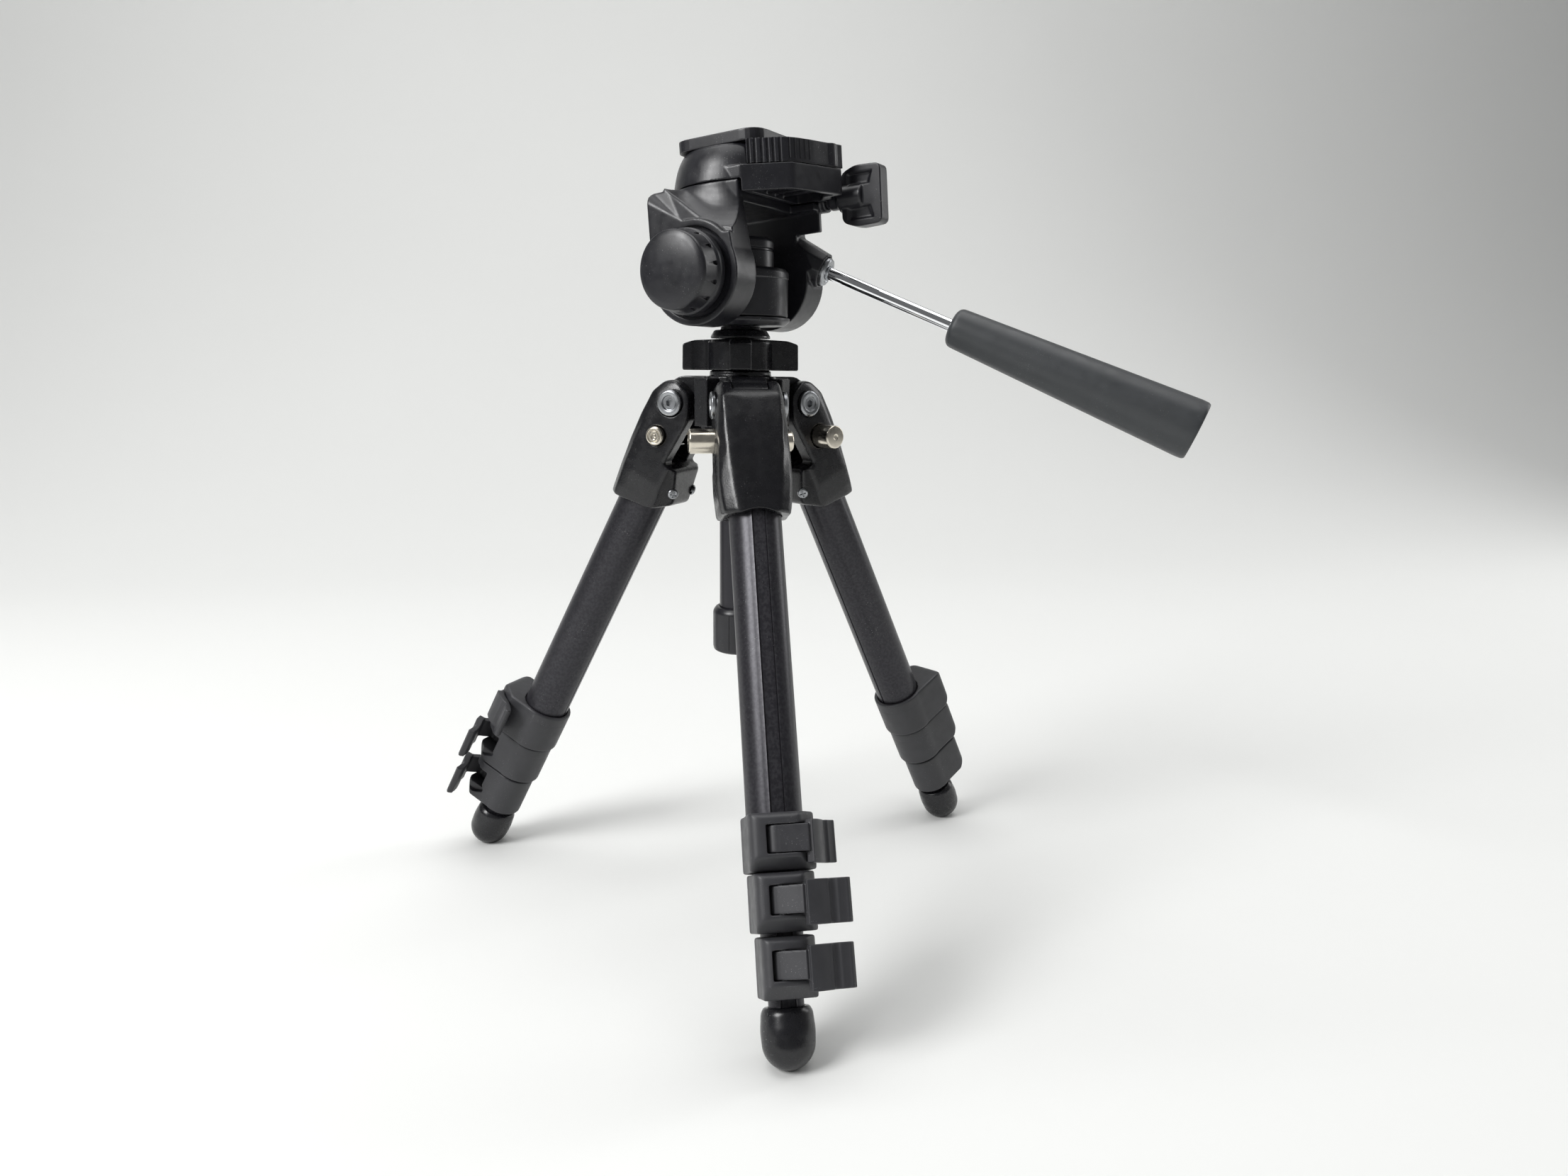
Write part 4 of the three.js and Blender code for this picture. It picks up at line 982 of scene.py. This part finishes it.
def platform_shape():
    """Flared skirt on a tray with an angled rear corner, hollow and ribbed underneath."""
    skirt_rings = []
    for i in range(17):
        t = i / 16
        radius = SKIRT_RADIUS - 1.6 * t - 2.4 * t ** 3
        skirt_rings.append(circle(radius, -0.5 + 1.5 * t, -1.5 - 0.5 * t, PLATFORM_FLOOR + 15.1 * t))
    deck = circle(24.5, 1, -2, 49.1)
    skirt = loft([*skirt_rings, deck, circle(24.3, 1, -2, DECK)])
    plan = [
        (-27, -10), (-26.6, -18.6, 1), (-14.8, -37.7, 2), (15.2, -47.4, 2), (15.3, -41.2), (22, -37.5),
        (29, -31.5, 2), (34.4, -23, 3), (34.4, 12, 6), (24, 20), (0, 0),
    ]
    tray = slab(plan, PLATFORM_FLOOR, TRAY_TOP)
    rear = common(slab(plan, TRAY_BOTTOM, TRAY_TOP), block((-60, -60, 0), (60, -18.6, 60)))
    hollow = slab([
        (-22, -21, 1), (-13, -34.6, 1), (12.6, -43.6, 1), (12.8, -38, 1), (20, -33, 1), (20, -21, 1),
    ], 20, 37)
    ribs = [block((x, -50, 29.5), (x + 1.2, -19, 40)) for x in (-9, -1.5, 6)]
    ear = join(rod(HINGE_RADIUS, 17.4, 23, HINGE_X, HINGE_Z, "y"),
               block((HINGE_X - 4.6, 17.4, HINGE_Z), (HINGE_X + 4.6, 20, PLATFORM_FLOOR + 1)))
    body = cut(
        join(skirt, tray, rear),
        cut(hollow, *ribs),
        block((-13.3, -19.3, POCKET_FLOOR), (19.3, 13.3, 60)),
        slab(strip(LEVER_PATH, LEVER_THICK + 2), TRAY_TOP, 60),
        rod(HINGE_RADIUS + GAP, -33.4, -17, HINGE_X, HINGE_Z, "y"),
        rod(3.3, -60, -17, HINGE_X, HINGE_Z, "y"),
        rod(7, -60, -34.4, HINGE_X, HINGE_Z, "y"),
        block((HINGE_X - 4.87, -33.4, 0), (HINGE_X + 4.87, -17, HINGE_Z)),
    )
    body = join(body, ear, rod(2.5, 8, 18, HINGE_X, HINGE_Z, "y"))
    return moulded(body, voxel=0.36, passes=9, keep=0.35)


def plate_shape():
    """Quick-release plate: rounded lip, dovetail under it, and a ribbed rubber top."""
    lip = slab([(-21, -25, 9), (25, -25, 9), (25, 19, 9), (-21, 19, 9)], PLATE_BOTTOM, PLATE_TOP)
    dovetail = block((-13, -19, POCKET_FLOOR + 0.4), (19, 13, PLATE_BOTTOM + 1))
    ribs = [block((-16, y, PLATE_TOP - 0.5), (20, y + 0.7, PLATE_TOP + 1)) for y in range(-20, 16, 3)]
    clear = rod(6, PLATE_TOP - 1, PLATE_TOP + 2, *PLATE_CENTRE)
    body = cut(join(lip, dovetail), *[cut(rib, clear) for rib in ribs], rod(3.5, 40, 60, *PLATE_CENTRE),
               rod(7.6, 40, 47, *PLATE_CENTRE))
    return moulded(body, voxel=0.3, passes=5, keep=0.4)


def release_lever_shape():
    """S-curved lever: deep ribs, then finer slots, then a smooth run to its pivot boss."""
    low = TRAY_TOP + GAP
    arm = slab(strip(LEVER_PATH, LEVER_THICK, 60), low, LEVER_TOP)
    body = moulded(join(arm, rod(4.6, low, LEVER_TOP, *LEVER_PIVOT)), voxel=0.25, passes=8, keep=0.5)
    path = smooth_path(LEVER_PATH, 200)
    marks = []

    def mark(index, radius, bottom):
        at, go = path[index]
        out = Vector((go.y, -go.x))
        where = at + out * (LEVER_THICK / 2 + radius * 0.25)
        marks.append(rod(radius, bottom, 60, where.x, where.y, count=20))

    for i in range(6):
        mark(9 + 12 * i, 0.95, low - 1)
    for i in range(5):
        mark(84 + 10 * i, 0.5, low + 1.5)
    return cut(body, *marks)


def side_knob_shape():
    """Wing knob with two shallow hollows on both faces, on its stud."""
    wing = slab([(y, HINGE_Z + z, radius) for y, z, radius in (
        (-41.5, 10.5, 3), (-41.5, -11, 3), (-48.7, -13.6, 3), (-61.5, -13, 3), (-61.5, 13, 3),
        (-48.7, 13.6, 3),
    )], HINGE_X - 4, HINGE_X + 4, "x")
    tools = []
    for sign in (-1, 1):
        floor = HINGE_X + sign * 2.9
        edge = HINGE_X + sign * 5
        for low, high, below, above in ((-10.6, -4.4, -56.4, -54.6), (4.4, 10.4, -54.6, -56.4)):
            inner = [(-45.6, low + 1), (below, low + 1), (above, high - 1), (-45.6, high - 1)]
            outer = [(-43.4, low - 0.6), (below - 2.4, low - 0.6), (above - 2.4, high + 0.6),
                     (-43.4, high + 0.6)]
            tools.append(loft([[(floor, y, HINGE_Z + z) for y, z in inner],
                               [(edge, y, HINGE_Z + z) for y, z in outer]]))
    stem = lathe([
        (0, -12), (3, -12), (3, -34.8), (4.4, -34.8), (4.4, -39), (6.2, -40, 0.4), (6.2, -52, 1),
        (0, -53),
    ])
    stem = moved(turned(stem, -90, "X"), Matrix.Translation((HINGE_X, 0, HINGE_Z)))
    return moulded(join(cut(wing, *tools), stem), voxel=0.3, passes=10, keep=0.4)


def threads(radius, low, high, pitch, depth):
    """Outline points of a screw thread's ridges, from low to high."""
    count = int((high - low) / pitch)
    found = []
    for i in range(count):
        z = low + i * pitch
        found += [(radius - depth, z), (radius, z + pitch / 2)]
    return found


def make_head():
    place("base_disc", pan_base_shape(), head_frame, "centre_column",
          "black_plastic", ["pan_base"], sharp=35)
    place("pan_drum", bevelled(pan_body_shape(), 0.25), head_frame, "pan_body",
          "black_plastic", ["pan_body"], sharp=35)
    place("yoke_casting", yoke_shape(), tilt_frame, "tilt_yoke", "black_plastic", ["tilt_yoke"])
    place("tilt_lock_knob", tilt_knob_shape(), tilt_frame, "tilt_knob",
          "black_plastic", ["tilt_knob"], sharp=35)
    bush = lathe([
        (3.3, BUSH_START), (6.7, BUSH_START), (6.7, 30.6, 0.3), (6.1, 31.5, 0.3), (4.6, 31.5, 0.2),
        (4.3, 31.1), (3.3, 31.1), (3.3, BUSH_START),
    ])
    place("rod_bushing", bush, handle_frame, "tilt_yoke", "zinc", ["handle_bushing"], sharp=35)
    bar = lathe([(0, 14), (ROD_RADIUS, 14), (ROD_RADIUS, ROD_END), (0, ROD_END)])
    place("pan_rod", bar, handle_frame, "pan_handle", "chrome", ["handle_rod"], sharp=35)
    place("rubber_grip", grip_shape(), handle_frame, "pan_handle", "grip_rubber", ["handle_grip"])
    place("platform_casting", platform_shape(), tilt_frame, "camera_platform",
          "black_plastic", ["camera_platform"])
    place("release_plate", plate_shape(), tilt_frame, "quick_release_plate",
          "black_plastic", ["quick_release_plate"])
    guide = moved(lathe([
        (0, PLATE_TOP - 1), (1.6, PLATE_TOP - 1), (1.6, 57.1, 0.3), (1.1, 57.6, 0.3), (0, 57.6),
    ], 40), Matrix.Translation((3, 8, 0)))
    place("guide_pin", guide, tilt_frame, "quick_release_plate", "nickel", sharp=35)
    screw = lathe([
        (0, 43.8), (7, 43.8, 0.4), (7, 46.4, 0.4), (SCREW_RADIUS, 46.4),
        *threads(SCREW_RADIUS, 50, 58.6, SCREW_PITCH, 0.5),
        (2.6, 59.4, 0.3), (0, 59.4),
    ])
    place("mount_screw", moved(screw, Matrix.Translation((*PLATE_CENTRE, 0))), tilt_frame,
          "camera_screw", "zinc",
          ["camera_screw"], sharp=35)
    place("quick_lever", release_lever_shape(), tilt_frame, "release_lever",
          "black_plastic", ["release_lever"], sharp=40)
    place("side_wing_knob", side_knob_shape(), tilt_frame, "side_tilt_knob",
          "black_plastic", ["side_tilt_knob"])


make_camera()
make_stage()
make_lights()
make_legs()
make_middle()
make_head()
